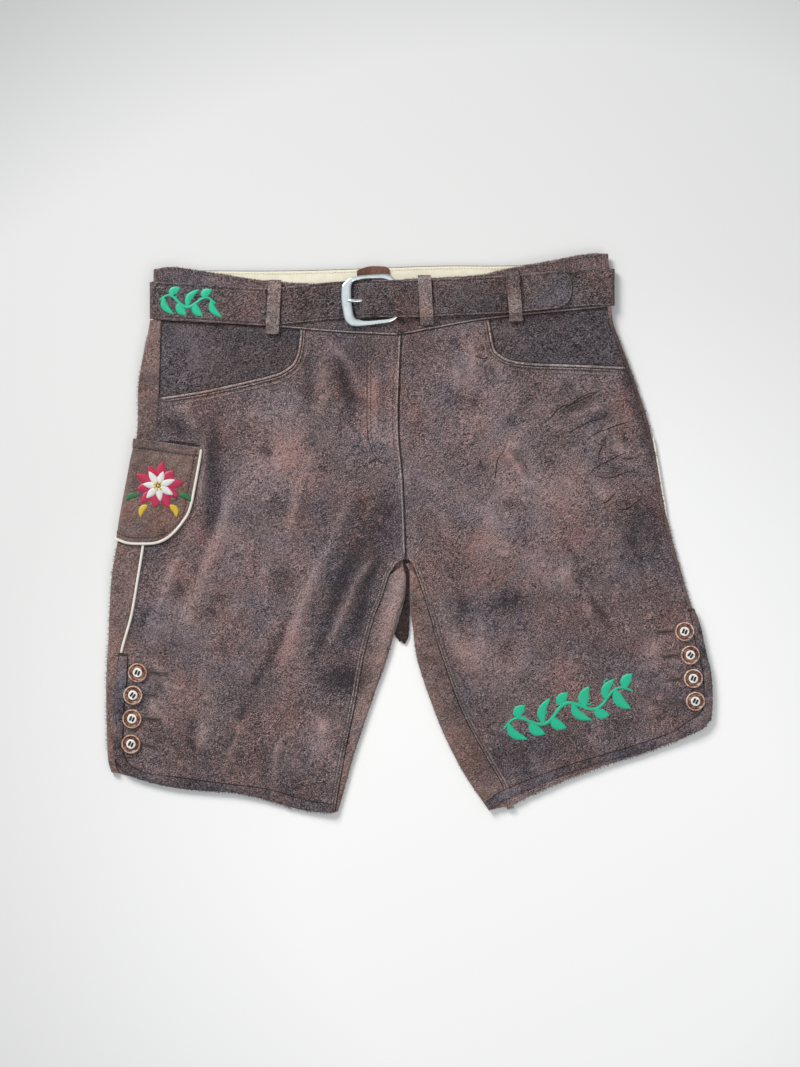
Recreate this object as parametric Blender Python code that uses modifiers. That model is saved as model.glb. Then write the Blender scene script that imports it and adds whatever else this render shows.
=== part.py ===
"""Lederhosen: short leather breeches with a belt, laid flat on their back.

Metres, +Z up.  The garment lies on z = 0 with its waist towards +Y.  "Right" and "left" are the
wearer's, so the right leg is on the -X side.  Plan tables are in millimetres.
"""
import math

import bpy

MM = 0.001

# Thicknesses and clearances, in millimetres
LEATHER = 1.6          # suede panel
FACING = 1.2           # pocket facing
LINING = 1.0           # cream waistband lining
BELT = 2.6             # belt strap
LOOP = 1.4             # belt loop
SEAM = 0.35            # gap between neighbouring pieces
CROTCH_SLACK = 0.9     # wider gap where four panels meet
LAYER = 0.3            # gap between pieces that lie on each other
EASE = 1.4             # hollow between the front and back panels
WAIST_EASE = LINING + 2 * LAYER
EDGE_LOFT = 1.6        # extra height where the leather rolls over a fold
LOFT_RUN = 28.0

# Levels of the stacked waist
BACK_WAIST_LEVEL = LOOP + LAYER + BELT + LAYER
FRONT_WAIST_LEVEL = BACK_WAIST_LEVEL + 2 * LEATHER + WAIST_EASE
BELT_INSIDE = FRONT_WAIST_LEVEL + LAYER
UPPER_STRAP = BELT_INSIDE + BELT + LAYER
WAIST_FLAT = 26.0      # stretch below the waist seam that stays at the seam's level
WAIST_RUN = 90.0       # stretch over which it comes down to the floor

# Edges of the legs: rows of (height y, x)
OUTER_RIGHT = [(213, -258.6), (200, -260.8), (187, -263.8), (148, -270.5), (98, -272), (18, -286),
               (-42, -297), (-112, -301), (-153, -303), (-227, -301), (-240, -297.5)]
SEAM_RIGHT = [(213, -247.4), (121, -250.8), (95, -254), (-10, -266), (-48, -272), (-83, -278.3),
              (-121, -288.5), (-168, -293.7), (-215, -295), (-230, -291), (-240, -283)]
OUTER_LEFT = [(226, 201.8), (208, 204.5), (188, 212), (148, 227), (108, 240), (68, 248), (28, 255),
              (-42, 273), (-112, 294), (-152, 301), (-172, 303.5), (-190, 299.5)]
INSEAM_RIGHT = [(-25, -3.4), (-29, -10.7), (-36, -16), (-45, -20.6), (-67, -27.5), (-84, -34.4),
                (-123, -45), (-173, -54), (-216, -63), (-279, -74)]
FOLD_RIGHT = [(-25, -2.5), (-63, -3.8), (-80, -10), (-103, -15.5), (-127, -22.5), (-162, -35),
              (-222, -55), (-279, -71)]
INSEAM_LEFT = [(-25, -1.6), (-32, 3.8), (-42, 7.3), (-53, 11.5), (-87, 22.2), (-110, 28.3),
               (-174, 51), (-219, 74.2), (-254, 94), (-277, 99)]
FOLD_LEFT = [(-25, 0.4), (-42, 0.6), (-76, 1.5), (-94, 3.8), (-127, 8.4), (-182, 27), (-212, 40),
             (-242, 56), (-277, 79.6)]
FLY = [(198, -8.0), (121, -10.8), (91, -10), (54, -6.6), (-25, -3.4)]
CENTRE_BACK = -5.0
CROTCH = -25.0
HEM_RIGHT = [(-298, 0), (-225, -3.8), (-166, 1), (-107, -3.4), (-71, 0)]
HEM_LEFT = [(79, 0), (98, 3.5), (144, 5), (194, 2), (247, -4), (290, -4), (300, 0)]
INSEAM_INSET = 5.5     # least distance of an inseam from its fold
SEAM_INSET = 3.8       # distance of the left side seam from its fold

# Waist edges: rows of (x, y)
WAIST_SEAM_RIGHT = [(-258, 213), (-142, 206.5), (-70, 200.5), (-8, 197.4)]
WAIST_SEAM_LEFT = [(-8, 198), (21, 203.5), (77, 213.4), (202, 226)]
WAIST_SEAM_BACK = [(-258, 213), (-130, 211), (-5, 213), (110, 220), (203, 226)]
WAIST_TOP_RIGHT = [(-256, 263), (-238, 265.5), (-202, 260.7), (-142, 251.6), (-68, 248.4), (-8, 253)]
WAIST_TOP_LEFT = [(-8, 253), (71, 257.4), (93, 262.5), (142, 271.7), (179, 278.5), (200, 278.8)]
WAIST_TOP_BACK = [(-256, 262.8), (-119, 262.2), (31, 267), (115, 268), (200, 278.6)]
WAIST_SIDES = {-1: [(0, -255.6), (1, -255.2)], 1: [(0, 201.8), (1, 199.0)]}

# Curved edge of each hip pocket, from the side to the waist seam: rows of (x, y)
SCOOP_RIGHT = [(-249, 134.7), (-203, 142), (-140, 156.2), (-124.7, 162), (-114.8, 170.3),
               (-109.8, 184), (-108, 203.2)]
SCOOP_LEFT = [(216.6, 165.3), (163, 167.6), (122, 169.1), (101.6, 172.2), (90.4, 177.8),
              (84.3, 186), (79, 213.5)]
FACING_DROP = 0.7      # how far the facing lies below the front's surface

# Soft folds of the front: x, y, half length, half width, turn in degrees, height
RELIEF = [(-84, -137, 75, 26, 42, 1.5),
          (-169, -205, 50, 24, 88, 1.2),
          (-109, 80, 80, 45, 5, 0.7),
          (66, -127, 75, 30, -52, 1.2),
          (151, 50, 75, 42, 32, 0.9),
          (170, -150, 60, 34, 15, 0.7)]

# Belt: rows of (x, y of the strap's middle)
BELT_WIDTH = 36.5
BELT_FRONT = [(-259, 232.3), (-212, 230), (-142, 225.4), (-120, 227.5), (-64, 232.6), (-9, 233.4),
              (71, 236.5), (111, 239), (183, 245.6), (206, 245.6)]
BELT_BACK = [(-259, 232.3), (-130, 233), (-5, 238), (120, 243), (206, 245.6)]
BELT_ENDS = {-1: -259.0, 1: 205.4}
BELT_TIP = 162.0       # x of the strap's rounded tip
HOLE_RADIUS = 1.9
HOLES = [(-103.4, 227.5), (-76, 228.6), (-23, 234.4), (4, 234.2)]

# Buckle: corners of the frame and of its window (x, y), counted round from the top right
BUCKLE_THICK = 2.6
BUCKLE_OUTSIDE = [(-12.8, 259.6), (-58, 255.8), (-67.6, 247), (-68.2, 232), (-64.5, 211),
                  (-56, 204.6), (-7.5, 211.2)]
BUCKLE_WINDOW = [(-17.5, 253.6), (-55.4, 251.6), (-57.6, 246), (-57.4, 232), (-55.4, 217),
                 (-52, 212.4), (-12.5, 214.6)]
BUCKLE_BAR = -9.0      # x of the heel bar's far edge, under the strap
BUCKLE_FACE = -52.0    # x of the broad bar's inner edge, over the strap
PRONG = 1.8            # diameter
PRONG_TIP = (-60.5, 231.0)
PRONG_HEEL = (-13.5, 232.6)
PRONG_CLEAR = 0.5
STRAP_RISE = (-52.0, -42.0)        # where the strap climbs through the window
STRAP_SETTLE = 14.0    # length over which the strap comes down past the heel bar
STRAP_UNDER_X = (-9.0, 15, 45, 75, 105, 135, 165, 185)
STRAP_OVER_X = (-235, -212, -190, -165, -142, -131, -120, -100, -80, -66, -57, -52, -42, -30, -18, -9,
                0, 10, 20, 45, 70, 95, 120, 140, 152)
STRAP_SIDE_X = {-1: -259.0, 1: 206.0}
STRAP_TURNS = 8        # facets round each side
STRAP_STEPS = 14       # lengths across the back
TIP_SHARES = ((157.0, 0.9), (160.5, 0.68))     # x and share of the width towards the tip
TIP_END_SHARE = 0.4
PRONG_HOLE_X = -46.0

# Belt loops: x at the top, top y, x at the bottom, bottom y, straps that pass under
LOOP_WIDTH = 12.6
FRONT_LOOPS = [(-133.7, 252.5, -136.3, 198.6, 1),
               (15.2, 257.0, 18.0, 208.0, 2),
               (102.6, 263.5, 106.8, 211.5, 2)]
LOOP_FOOT = 1.6        # where the strip leaves the waistband, beyond the strap's edge
LOOP_SHOULDER = (1.0, 0.6)         # distance beyond the strap's edge and drop from the crest
LOOP_FLAT = 0.5        # inset of the level crest
LOOP_CLEAR = 0.2       # between strap and strip
BACK_LOOPS = [(-105.0, 259.0, -105.0, 209.0), (85.0, 264.0, 85.0, 215.0)]
HANGER_TAB = [(-52.0, 262.0), (-46.0, 264.6), (-39, 266.3), (-27, 266.3), (-21.5, 265.2), (-19.0, 262.5)]
TAB_FOOT = 254.0

# Patch pocket on the right side, in distances round the fold (positive on the front) and heights
POCKET_MIDDLE = 27.0
POCKET_REACH = {1: 40.0, -1: 45.0}
POCKET_TOP = 94.3
POCKET_SLOPE = -0.136
POCKET_BOTTOM = -9.4
POCKET_CORNER = 31.0
POCKET_ROUND = 3.2
POCKET_CLEAR = 0.8
POCKET_LIFT = LEATHER + POCKET_CLEAR
POCKET_SHELF = 28.0    # level stretch round the wrapped part of the pocket
POCKET_RAMP = 65.0     # stretch over which the back comes down to the floor
POCKET_ACROSS = [67, 64, 59, 50, 38, 25, 13, 6.5, 4, 1.5, -1.5, -4, -6.5, -11, -18]
PIPING_WIDTH = 2.2
PIPING_GAP = 0.6
SIDE_PIPING = (-15.0, -119.0)      # top and bottom heights of the right seam's piping
LEFT_PIPING = (96.0, -74.0)
PIPING_THICK = {-1: 1.1, 1: 1.5}
RIGHT_PIPING_SPAN = (1.0, 4.0)     # inward of the side seam
LEFT_PIPING_SPAN = (1.4, -1.0)

# Buttons: rows of (x, y)
BUTTON_RADIUS = 9.6
BUTTON_THICK = 3.0
BUTTONS = {"right": [(-271.2, -139.5), (-275.8, -162), (-276.7, -185.6), (-277.7, -210.8)],
           "left": [(275.2, -98.3), (281, -121.8), (283.9, -145.3), (286, -168)]}

# End of the rise seam between the legs: left and right edges, rows of (y, x)
TAB_LEFT_EDGE = [(-38, -2.2), (-60, -2.7), (-80, -8.2), (-103, -13.8), (-108, -9.5)]
TAB_RIGHT_EDGE = [(-38, -0.6), (-60, 0.0), (-80, 0.4), (-103, -0.4), (-111, -3.6)]
TAB_LEVEL = 2.4
TAB_ROWS = 8

# Construction
FLY_TOP = 196.0        # height where the fly meets the waist seam
WAIST_ENDS = {-1: -247.1, 1: 194.2}            # side ends of the front waistbands
LINING_ENDS = (-243.0, 190.0)
LINING_FOOT = 4.0      # lining above the waist seam
LINING_DROP = 0.8      # and below the top edge
FACING_SHIFT = 1.4     # gap between front and hip facing, in seam gaps
FOLD_PROBE = 3.0       # distance inside a fold where its thickness is taken
HEM_START = 0.86       # row from which the hem's curve acts
UPPER_SHARE = 0.55     # rows of the front that follow its curved upper edge
BACK_SHARE = 0.3       # rows of the back that follow its waist seam
CROWD = 0.3            # share by which columns crowd towards both sides
CROTCH_STEP = 18.0     # height below the crotch where the inseam leaves its fold
SLACK_RUN, SLACK_DROP = 22.0, 15.0
STRIP_FOOT = -225.0    # height below which the wrapped strip at the side seam narrows
STRIP_NARROW = 4.0
STRIP_LEAST = 0.5
TAIL_STEP = 1.1        # spacing of the columns at the centre back

# Mesh rows and columns
ROWS = [0, .055, .11, .17, .235, .272, .31, .385, .465, .507, .555, .61, .67, .73, .79, .85, .905, .955, 1.0]
SPREAD = [0, .045, .1, .17, .25, .34, .43, .52, .61, .70, .79, .88, .95, 1.0]
SCOOP_STEP = 35.0      # longest stretch of a pocket edge without a column
SEAM_MATCH = .31       # row from which the front's rows meet the back's at the side seam
ARC = 4                # quads round a fold
WAIST_COLUMNS = 16

COLOURS = {  # base colour, roughness, metallic
    "suede_front": ((0.115, 0.075, 0.060), 0.95, 0),
    "suede_back": ((0.150, 0.092, 0.072), 0.95, 0),
    "suede_facing": ((0.075, 0.055, 0.050), 0.95, 0),
    "belt_suede": ((0.090, 0.066, 0.058), 0.9, 0),
    "cream_lining": ((0.72, 0.64, 0.48), 0.8, 0),
    "cream_piping": ((0.70, 0.62, 0.50), 0.8, 0),
    "hanger_brown": ((0.16, 0.075, 0.045), 0.8, 0),
    "satin_nickel": ((0.62, 0.63, 0.64), 0.32, 1),
    "horn": ((0.30, 0.13, 0.07), 0.5, 0),
}


def ease(amount):
    """Smooth step from 0 to 1."""
    amount = max(0.0, min(1.0, amount))
    return amount * amount * (3 - 2 * amount)


def value(rows, at):
    """Value at a position of the smooth curve through (position, value) rows."""
    rows = sorted(rows)
    if at <= rows[0][0]:
        return rows[0][1]
    if at >= rows[-1][0]:
        return rows[-1][1]
    i = max(k for k in range(len(rows) - 1) if rows[k][0] <= at)
    slopes = []
    for k in (i, i + 1):
        before, after = rows[max(k - 1, 0)], rows[min(k + 1, len(rows) - 1)]
        slopes.append((after[1] - before[1]) / (after[0] - before[0]))
    (x0, y0), (x1, y1) = rows[i], rows[i + 1]
    width = x1 - x0
    t = (at - x0) / width
    blend = t * t * (3 - 2 * t)
    return (y0 + (y1 - y0) * blend
            + slopes[0] * width * t * (1 - t) ** 2 - slopes[1] * width * t * t * (1 - t))


def mix(a, b, t):
    return a + (b - a) * t


def path_point(path, t):
    """Point at a fraction of the length of a polyline."""
    lengths = [math.dist(a, b) for a, b in zip(path, path[1:])]
    left = t * sum(lengths)
    for (a, b), length in zip(zip(path, path[1:]), lengths):
        if left <= length:
            return tuple(mix(p, q, left / length) for p, q in zip(a, b))
        left -= length
    return path[-1]


# ---------------------------------------------------------------- heights

def pocket_lift(x, y):
    """Rise of the right back panel over the wrapped part of the patch pocket."""
    inside = ease((value(OUTER_RIGHT, y) + POCKET_SHELF + POCKET_RAMP - x) / POCKET_RAMP)
    below = ease((y - POCKET_BOTTOM + POCKET_SHELF + POCKET_RAMP) / POCKET_RAMP)
    above = ease((POCKET_TOP + POCKET_SHELF + POCKET_RAMP - y) / POCKET_RAMP)
    return POCKET_LIFT * inside * below * above


def under(x, y):
    """Height of the back layer's underside."""
    below = value(WAIST_SEAM_BACK, x) - y - WAIST_FLAT
    waist = BACK_WAIST_LEVEL * (1 - ease(below / WAIST_RUN))
    return max(waist, pocket_lift(x, y))


def relief(x, y):
    total = 0.0
    for cx, cy, length, width, turn, height in RELIEF:
        a = math.radians(turn)
        along = ((x - cx) * math.cos(a) + (y - cy) * math.sin(a)) / length
        across = (-(x - cx) * math.sin(a) + (y - cy) * math.cos(a)) / width
        total += height * math.exp(-along * along - across * across)
    return total


def top(x, y):
    """Height of the front layer's surface."""
    near_waist = ease(1 - (value(WAIST_SEAM_BACK, x) - y - WAIST_FLAT) / WAIST_RUN)
    sides = min(abs(x - value(OUTER_RIGHT, y)), abs(x - value(OUTER_LEFT, y)))
    if y < CROTCH:
        fold = value(FOLD_RIGHT if x < 0 else FOLD_LEFT, y)
        sides = min(sides, abs(x - fold))
    loft = EDGE_LOFT * math.exp(-(sides / LOFT_RUN) ** 2)
    hollow = mix(EASE + loft + relief(x, y), WAIST_EASE, near_waist)
    return under(x, y) + 2 * LEATHER + hollow


# ---------------------------------------------------------------- plan of a leg

class Leg:
    """Edges of one leg as functions of the row fraction v, 0 at the waist seam and 1 at the hem."""

    def __init__(self, side):
        right = side < 0
        self.side = side
        self.outer = OUTER_RIGHT if right else OUTER_LEFT
        self.fold = FOLD_RIGHT if right else FOLD_LEFT
        self.inseam = INSEAM_RIGHT if right else INSEAM_LEFT
        self.hem = HEM_RIGHT if right else HEM_LEFT
        self.seam_front = WAIST_SEAM_RIGHT if right else WAIST_SEAM_LEFT
        self.outer_span = (212.6, -239.5) if right else (225, -190)
        self.inner_span = (196.4, -279) if right else (196.4, -277)

    def outer_y(self, v):
        return mix(*self.outer_span, v)

    def inner_y(self, v):
        return mix(*self.inner_span, v)

    def fold_x(self, y):
        return value(self.fold, y)

    def outer_x(self, y):
        return value(self.outer, y)

    def side_x(self, y):
        """Side seam, displaced to the front on the right and close to the fold on the left."""
        if self.side < 0:
            return value(SEAM_RIGHT, y)
        return value(self.outer, y) - SEAM_INSET

    def inner_x(self, y):
        """Fly edge above the crotch and inseam below it."""
        if y >= CROTCH:
            return value(FLY, y)
        seam = value(self.inseam, y)
        if y > CROTCH - CROTCH_STEP:
            return seam
        if self.side < 0:
            return min(seam, self.fold_x(y) - INSEAM_INSET)
        return max(seam, self.fold_x(y) + INSEAM_INSET)

    def hem_bow(self, x, v):
        """Drop of the hem's line near the bottom of the leg."""
        return value(self.hem, x) * ease((v - HEM_START) / (1 - HEM_START))


def around(leg, u, y, out, end="outer"):
    """Point beside a fold: u runs round it, positive on the front; out is the distance outward."""
    fold_x = leg.outer_x(y) if end == "outer" else leg.fold_x(y)
    inward = -leg.side if end == "outer" else leg.side
    low = under(fold_x, y)
    radius = (top(fold_x + inward * FOLD_PROBE, y) - low) / 2
    centre_x = fold_x + inward * radius
    quarter = radius * math.pi / 2
    if abs(u) <= quarter:
        a = u / radius
        reach = radius + out
        return (centre_x - inward * reach * math.cos(a), y, low + radius + reach * math.sin(a))
    x = centre_x + inward * (abs(u) - quarter)
    if u > 0:
        return (x, y, top(x, y) + out)
    return (x, y, under(x, y) - out)


# ---------------------------------------------------------------- meshes

def material(name):
    found = bpy.data.materials.get(name)
    if found:
        return found
    made = bpy.data.materials.new(name)
    made.use_nodes = True
    shader = made.node_tree.nodes["Principled BSDF"]
    colour, roughness, metallic = COLOURS[name]
    shader.inputs["Base Color"].default_value = (*colour, 1)
    shader.inputs["Roughness"].default_value = roughness
    shader.inputs["Metallic"].default_value = metallic
    made.diffuse_color = (*colour, 1)
    return made


def place(obj, finish, collection):
    for owner in obj.users_collection:
        owner.objects.unlink(obj)
    collection.objects.link(obj)
    if finish:
        obj.data.materials.clear()
        obj.data.materials.append(material(finish))
    return obj


def wall(name, grid, thick, finish, flip=False):
    """Wall of leather whose outer surface is a grid of points in millimetres."""
    mesh = bpy.data.meshes.new(name)
    columns = len(grid[0])
    points = [tuple(c * MM for c in p) for row in grid for p in row]
    faces = []
    for i in range(len(grid) - 1):
        for j in range(columns - 1):
            a = i * columns + j
            face = (a, a + columns, a + columns + 1, a + 1)
            faces.append(face[::-1] if flip else face)
    mesh.from_pydata(points, [], faces)
    mesh.shade_smooth()
    obj = place(bpy.data.objects.new(name, mesh), finish, PARTS)
    solid = obj.modifiers.new("thickness", "SOLIDIFY")
    solid.thickness = thick * MM
    solid.offset = -1
    return obj


# ---------------------------------------------------------------- panels

def scoop_points(leg):
    """Points of a hip pocket's edge, from the side to the waist seam."""
    scoop = SCOOP_RIGHT if leg.side < 0 else SCOOP_LEFT
    corner_x = scoop[-1][0]
    scoop = scoop[:-1] + [(corner_x, value(leg.seam_front, corner_x) - SEAM)]
    points = [scoop[0]]
    for a, b in zip(scoop, scoop[1:]):
        if math.dist(a, b) > SCOOP_STEP:
            points.append(path_point([a, b], 0.5))
        points.append(b)
    return points


def front_panel(leg, name):
    """Patch between the side seam, the hip pocket's edge and waist seam, the fly and inseam, and
    the hem."""
    inward = -leg.side
    scoop = scoop_points(leg)
    centre = value(FLY, FLY_TOP) + SEAM * 0.5 * leg.side
    upper = scoop + [(x, value(leg.seam_front, x) - SEAM) for x in
                     [mix(scoop[-1][0], centre, k / 4) for k in range(1, 5)]]
    first, last = upper[0], upper[-1]
    grid = []
    for v in ROWS:
        side_y = leg.outer_y(v)
        if v < SEAM_MATCH:
            side_y = mix(first[1], leg.outer_y(SEAM_MATCH), v / SEAM_MATCH)
        inner_y = mix(last[1], leg.inner_y(1), v)
        side = (leg.side_x(side_y) + SEAM * inward, side_y)
        slack = SEAM + CROTCH_SLACK * math.exp(-((inner_y - CROTCH + SLACK_DROP) / SLACK_RUN) ** 2)
        inner = (leg.inner_x(inner_y) - slack * inward, inner_y)
        fade = 1 - ease(v / UPPER_SHARE)
        row = []
        for k, head in enumerate(upper):
            s = k / (len(upper) - 1)
            s = mix(s, ease(s), CROWD)
            x = mix(side[0], inner[0], s) + (head[0] - mix(first[0], last[0], s)) * fade
            y = mix(side[1], inner[1], s) + (head[1] - mix(first[1], last[1], s)) * fade
            y += leg.hem_bow(x, v)
            row.append((x, y, top(x, y)))
        grid.append(row)
    return wall(name, grid, LEATHER, "suede_front", flip=leg.side > 0)


def back_panel(leg, name):
    """Ring from the side seam round the outer fold, under the leg and round the inner fold to the
    inseam; above the crotch it ends flat at the centre back."""
    centre = CENTRE_BACK + leg.side * SEAM
    head = (leg.outer_x(leg.outer_y(0)), leg.outer_y(0))
    grid = []
    for v in ROWS:
        outer_y, inner_y = leg.outer_y(v), leg.inner_y(v)
        above = 1 - ease(v / BACK_SHARE)
        inner_y += (value(WAIST_SEAM_BACK, centre) - leg.inner_y(0)) * above
        row = []
        fold = leg.outer_x(outer_y)
        radius = (top(fold - leg.side * FOLD_PROBE, outer_y) - under(fold, outer_y)) / 2
        quarter = radius * math.pi / 2
        strip = abs(leg.side_x(outer_y) - fold) - radius
        strip = max(strip, STRIP_LEAST)
        if leg.side < 0 and outer_y < STRIP_FOOT:
            strip = min(strip, STRIP_NARROW)
        for k in range(2):
            row.append(around(leg, quarter + strip * (1 - k / 2), outer_y, 0))
        for k in range(ARC + 1):
            row.append(around(leg, quarter * (1 - 2 * k / ARC), outer_y, 0))
        start = row[-1]
        wrapped = inner_y < CROTCH - 1
        if wrapped:
            inner_fold = leg.fold_x(inner_y)
            inner_radius = (top(inner_fold + leg.side * FOLD_PROBE, inner_y) - under(inner_fold, inner_y)) / 2
            inner_quarter = inner_radius * math.pi / 2
            inner_strip = abs(leg.inner_x(inner_y) - inner_fold) - inner_radius
            tail = [around(leg, -inner_quarter * (1 - 2 * k / ARC), inner_y, 0, "inner")
                    for k in range(ARC + 1)]
            tail += [around(leg, inner_quarter + inner_strip * k / 2, inner_y, 0, "inner")
                     for k in range(1, 3)]
        else:
            tail = []
            for k in range(ARC + 3):
                x = centre + leg.side * (ARC + 2 - k) * TAIL_STEP
                tail.append((x, inner_y, under(x, inner_y)))
        end = tail[0]
        for s in SPREAD[1:-1]:
            x, y = mix(start[0], end[0], s), mix(start[1], end[1], s)
            head_x = mix(head[0], centre, s)
            seam_rise = value(WAIST_SEAM_BACK, head_x) - mix(head[1], value(WAIST_SEAM_BACK, centre), s)
            y += seam_rise * above
            row.append((x, y, under(x, y)))
        row += tail
        grid.append([(x, y + leg.hem_bow(x, v), z) for x, y, z in row])
    return wall(name, grid, LEATHER, "suede_back", flip=leg.side < 0)


def facing(leg, name):
    """Darker leather that shows in the scoop of a hip pocket, a little below the front's surface."""
    shift = SEAM * FACING_SHIFT
    lower = [(x + shift * leg.side, y + shift) for x, y in scoop_points(leg)[:-1]]
    side_x = leg.side_x(leg.outer_span[0]) - leg.side * SEAM
    grid = []
    for i in range(4):
        row = []
        for k, (x_low, y_low) in enumerate(lower):
            s = k / (len(lower) - 1)
            x_high = mix(side_x, lower[-1][0], s)
            y_high = value(leg.seam_front, x_high) - SEAM
            x, y = mix(x_low, x_high, i / 3), mix(y_low, y_high, i / 3)
            if k == 0:
                x = leg.side_x(y) - leg.side * SEAM * 2
            row.append((x, y, top(x, y) - FACING_DROP))
        grid.append(row)
    return wall(name, grid, FACING, "suede_facing", flip=leg.side < 0)


# ---------------------------------------------------------------- waistband

def flat_band(name, x_range, low, high, level, thick, finish, columns=WAIST_COLUMNS):
    """Flat band between two edges given as functions of x."""
    grid = []
    for i in range(3):
        row = []
        for k in range(columns + 1):
            x = mix(*x_range, k / columns)
            row.append((x, mix(low(x), high(x), i / 2), level))
        grid.append(row)
    return wall(name, grid, thick, finish, flip=True)


def waistband_fronts():
    fly = value(FLY, FLY_TOP)
    flat_band("waistband_front_right", (WAIST_ENDS[-1], fly - SEAM / 2),
              lambda x: value(WAIST_SEAM_RIGHT, x), lambda x: value(WAIST_TOP_RIGHT, x),
              FRONT_WAIST_LEVEL, LEATHER, "suede_front")
    flat_band("waistband_front_left", (fly + SEAM / 2, WAIST_ENDS[1]),
              lambda x: value(WAIST_SEAM_LEFT, x), lambda x: value(WAIST_TOP_LEFT, x),
              FRONT_WAIST_LEVEL, LEATHER, "suede_front")


def waistband_back():
    """Band round the back and both sides; its ends lie on the front."""
    radius = (FRONT_WAIST_LEVEL - BACK_WAIST_LEVEL) / 2
    middle = BACK_WAIST_LEVEL + radius
    ends = {side: WAIST_ENDS[side] + side * SEAM for side in (-1, 1)}
    grid = []
    for i in range(3):
        f = i / 2
        row = []
        for side in (-1, 1):
            fold = value(WAIST_SIDES[side], f)
            centre = fold - side * radius
            arc = []
            for k in range(ARC + 1):
                a = math.pi * k / ARC - math.pi / 2
                arc.append((centre + side * radius * math.cos(a), middle + radius * math.sin(a)))
            arc.append((ends[side], FRONT_WAIST_LEVEL))
            if side < 0:
                arc.reverse()
            else:
                first, last = row[-1][0], arc[0][0]
                steps = WAIST_COLUMNS
                row += [(mix(first, last, k / steps), BACK_WAIST_LEVEL) for k in range(1, steps)]
            row += arc
        points = []
        for x, z in row:
            on_front = z > middle
            table = WAIST_TOP_BACK
            if on_front:
                table = WAIST_TOP_RIGHT if x < 0 else WAIST_TOP_LEFT
            points.append((x, mix(value(WAIST_SEAM_BACK, x) + SEAM, value(table, x), f), z))
        grid.append(points)
    wall("waistband_back", grid, LEATHER, "suede_back")


def lining():
    flat_band("waistband_lining", LINING_ENDS, lambda x: value(WAIST_SEAM_BACK, x) + LINING_FOOT,
              lambda x: value(WAIST_TOP_BACK, x) - LINING_DROP,
              BACK_WAIST_LEVEL + LEATHER + LAYER + LINING, LINING, "cream_lining")


def hanger_tab():
    level = BACK_WAIST_LEVEL + LEATHER + LAYER + LINING + LAYER + LOOP
    grid = [[(x, TAB_FOOT, level) for x, _ in HANGER_TAB], [(x, y, level) for x, y in HANGER_TAB]]
    wall("hanger_tab", grid, LOOP, "hanger_brown", flip=True)


# ---------------------------------------------------------------- belt and buckle

def prong_height(x):
    """Middle of the prong, which rests on the broad bar and on the heel bar."""
    on_face = BELT_INSIDE + BELT + LAYER + BUCKLE_THICK + LAYER + PRONG / 2
    on_heel = BELT_INSIDE + BUCKLE_THICK + LAYER + PRONG / 2
    t = (x - BUCKLE_FACE) / (BUCKLE_BAR - BUCKLE_FACE)
    return mix(on_face, on_heel, t)


def strap_height(x):
    """Inside of the strap along the front: under the broad bar, over the prong and heel bar."""
    start, crest = STRAP_RISE
    if x <= start:
        return BELT_INSIDE
    over = prong_height(max(x, crest)) + PRONG / 2 + PRONG_CLEAR
    if x < crest:
        return mix(BELT_INSIDE, over, (x - start) / (crest - start))
    if x < BUCKLE_BAR:
        return over
    heel = prong_height(BUCKLE_BAR) + PRONG / 2 + PRONG_CLEAR
    return mix(heel, UPPER_STRAP, ease((x - BUCKLE_BAR) / STRAP_SETTLE))


def belt_stations():
    """Stations (x, inside height, outward direction, middle y, half width) from the buckle end
    round the back to the tip."""
    radius = (BELT_INSIDE - (BACK_WAIST_LEVEL - LAYER)) / 2
    middle = BELT_INSIDE - radius
    out = radius + BELT
    right, left = BELT_ENDS[1] - out, BELT_ENDS[-1] + out
    half = BELT_WIDTH / 2
    stations = []
    for x in STRAP_UNDER_X:
        stations.append((x, BELT_INSIDE + BELT, value(BELT_FRONT, x), half))
    for k in range(STRAP_TURNS + 1):
        a = math.pi / 2 - math.pi * k / STRAP_TURNS
        stations.append((right + out * math.cos(a), middle + out * math.sin(a),
                         value(BELT_FRONT, STRAP_SIDE_X[1]), half))
    for k in range(1, STRAP_STEPS):
        x = mix(right, left, k / STRAP_STEPS)
        stations.append((x, middle - out, value(BELT_BACK, x), half))
    for k in range(STRAP_TURNS + 1):
        a = -math.pi / 2 - math.pi * k / STRAP_TURNS
        stations.append((left + out * math.cos(a), middle + out * math.sin(a),
                         value(BELT_FRONT, STRAP_SIDE_X[-1]), half))
    for x in STRAP_OVER_X:
        stations.append((x, strap_height(x) + BELT, value(BELT_FRONT, x), half))
    for x, share in TIP_SHARES + ((BELT_TIP, TIP_END_SHARE),):
        stations.append((x, strap_height(x) + BELT, value(BELT_FRONT, x), half * share))
    return stations


def cutter(name, x, y, z, radius, depth, tilt=0.0):
    bpy.ops.mesh.primitive_cylinder_add(vertices=12, radius=radius * MM, depth=depth * MM,
                                        location=(x * MM, y * MM, z * MM), rotation=(0, tilt, 0))
    tool = bpy.context.object
    tool.name = name
    tool.hide_render = True
    tool.display_type = "WIRE"
    return place(tool, None, CUTTERS)


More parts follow.
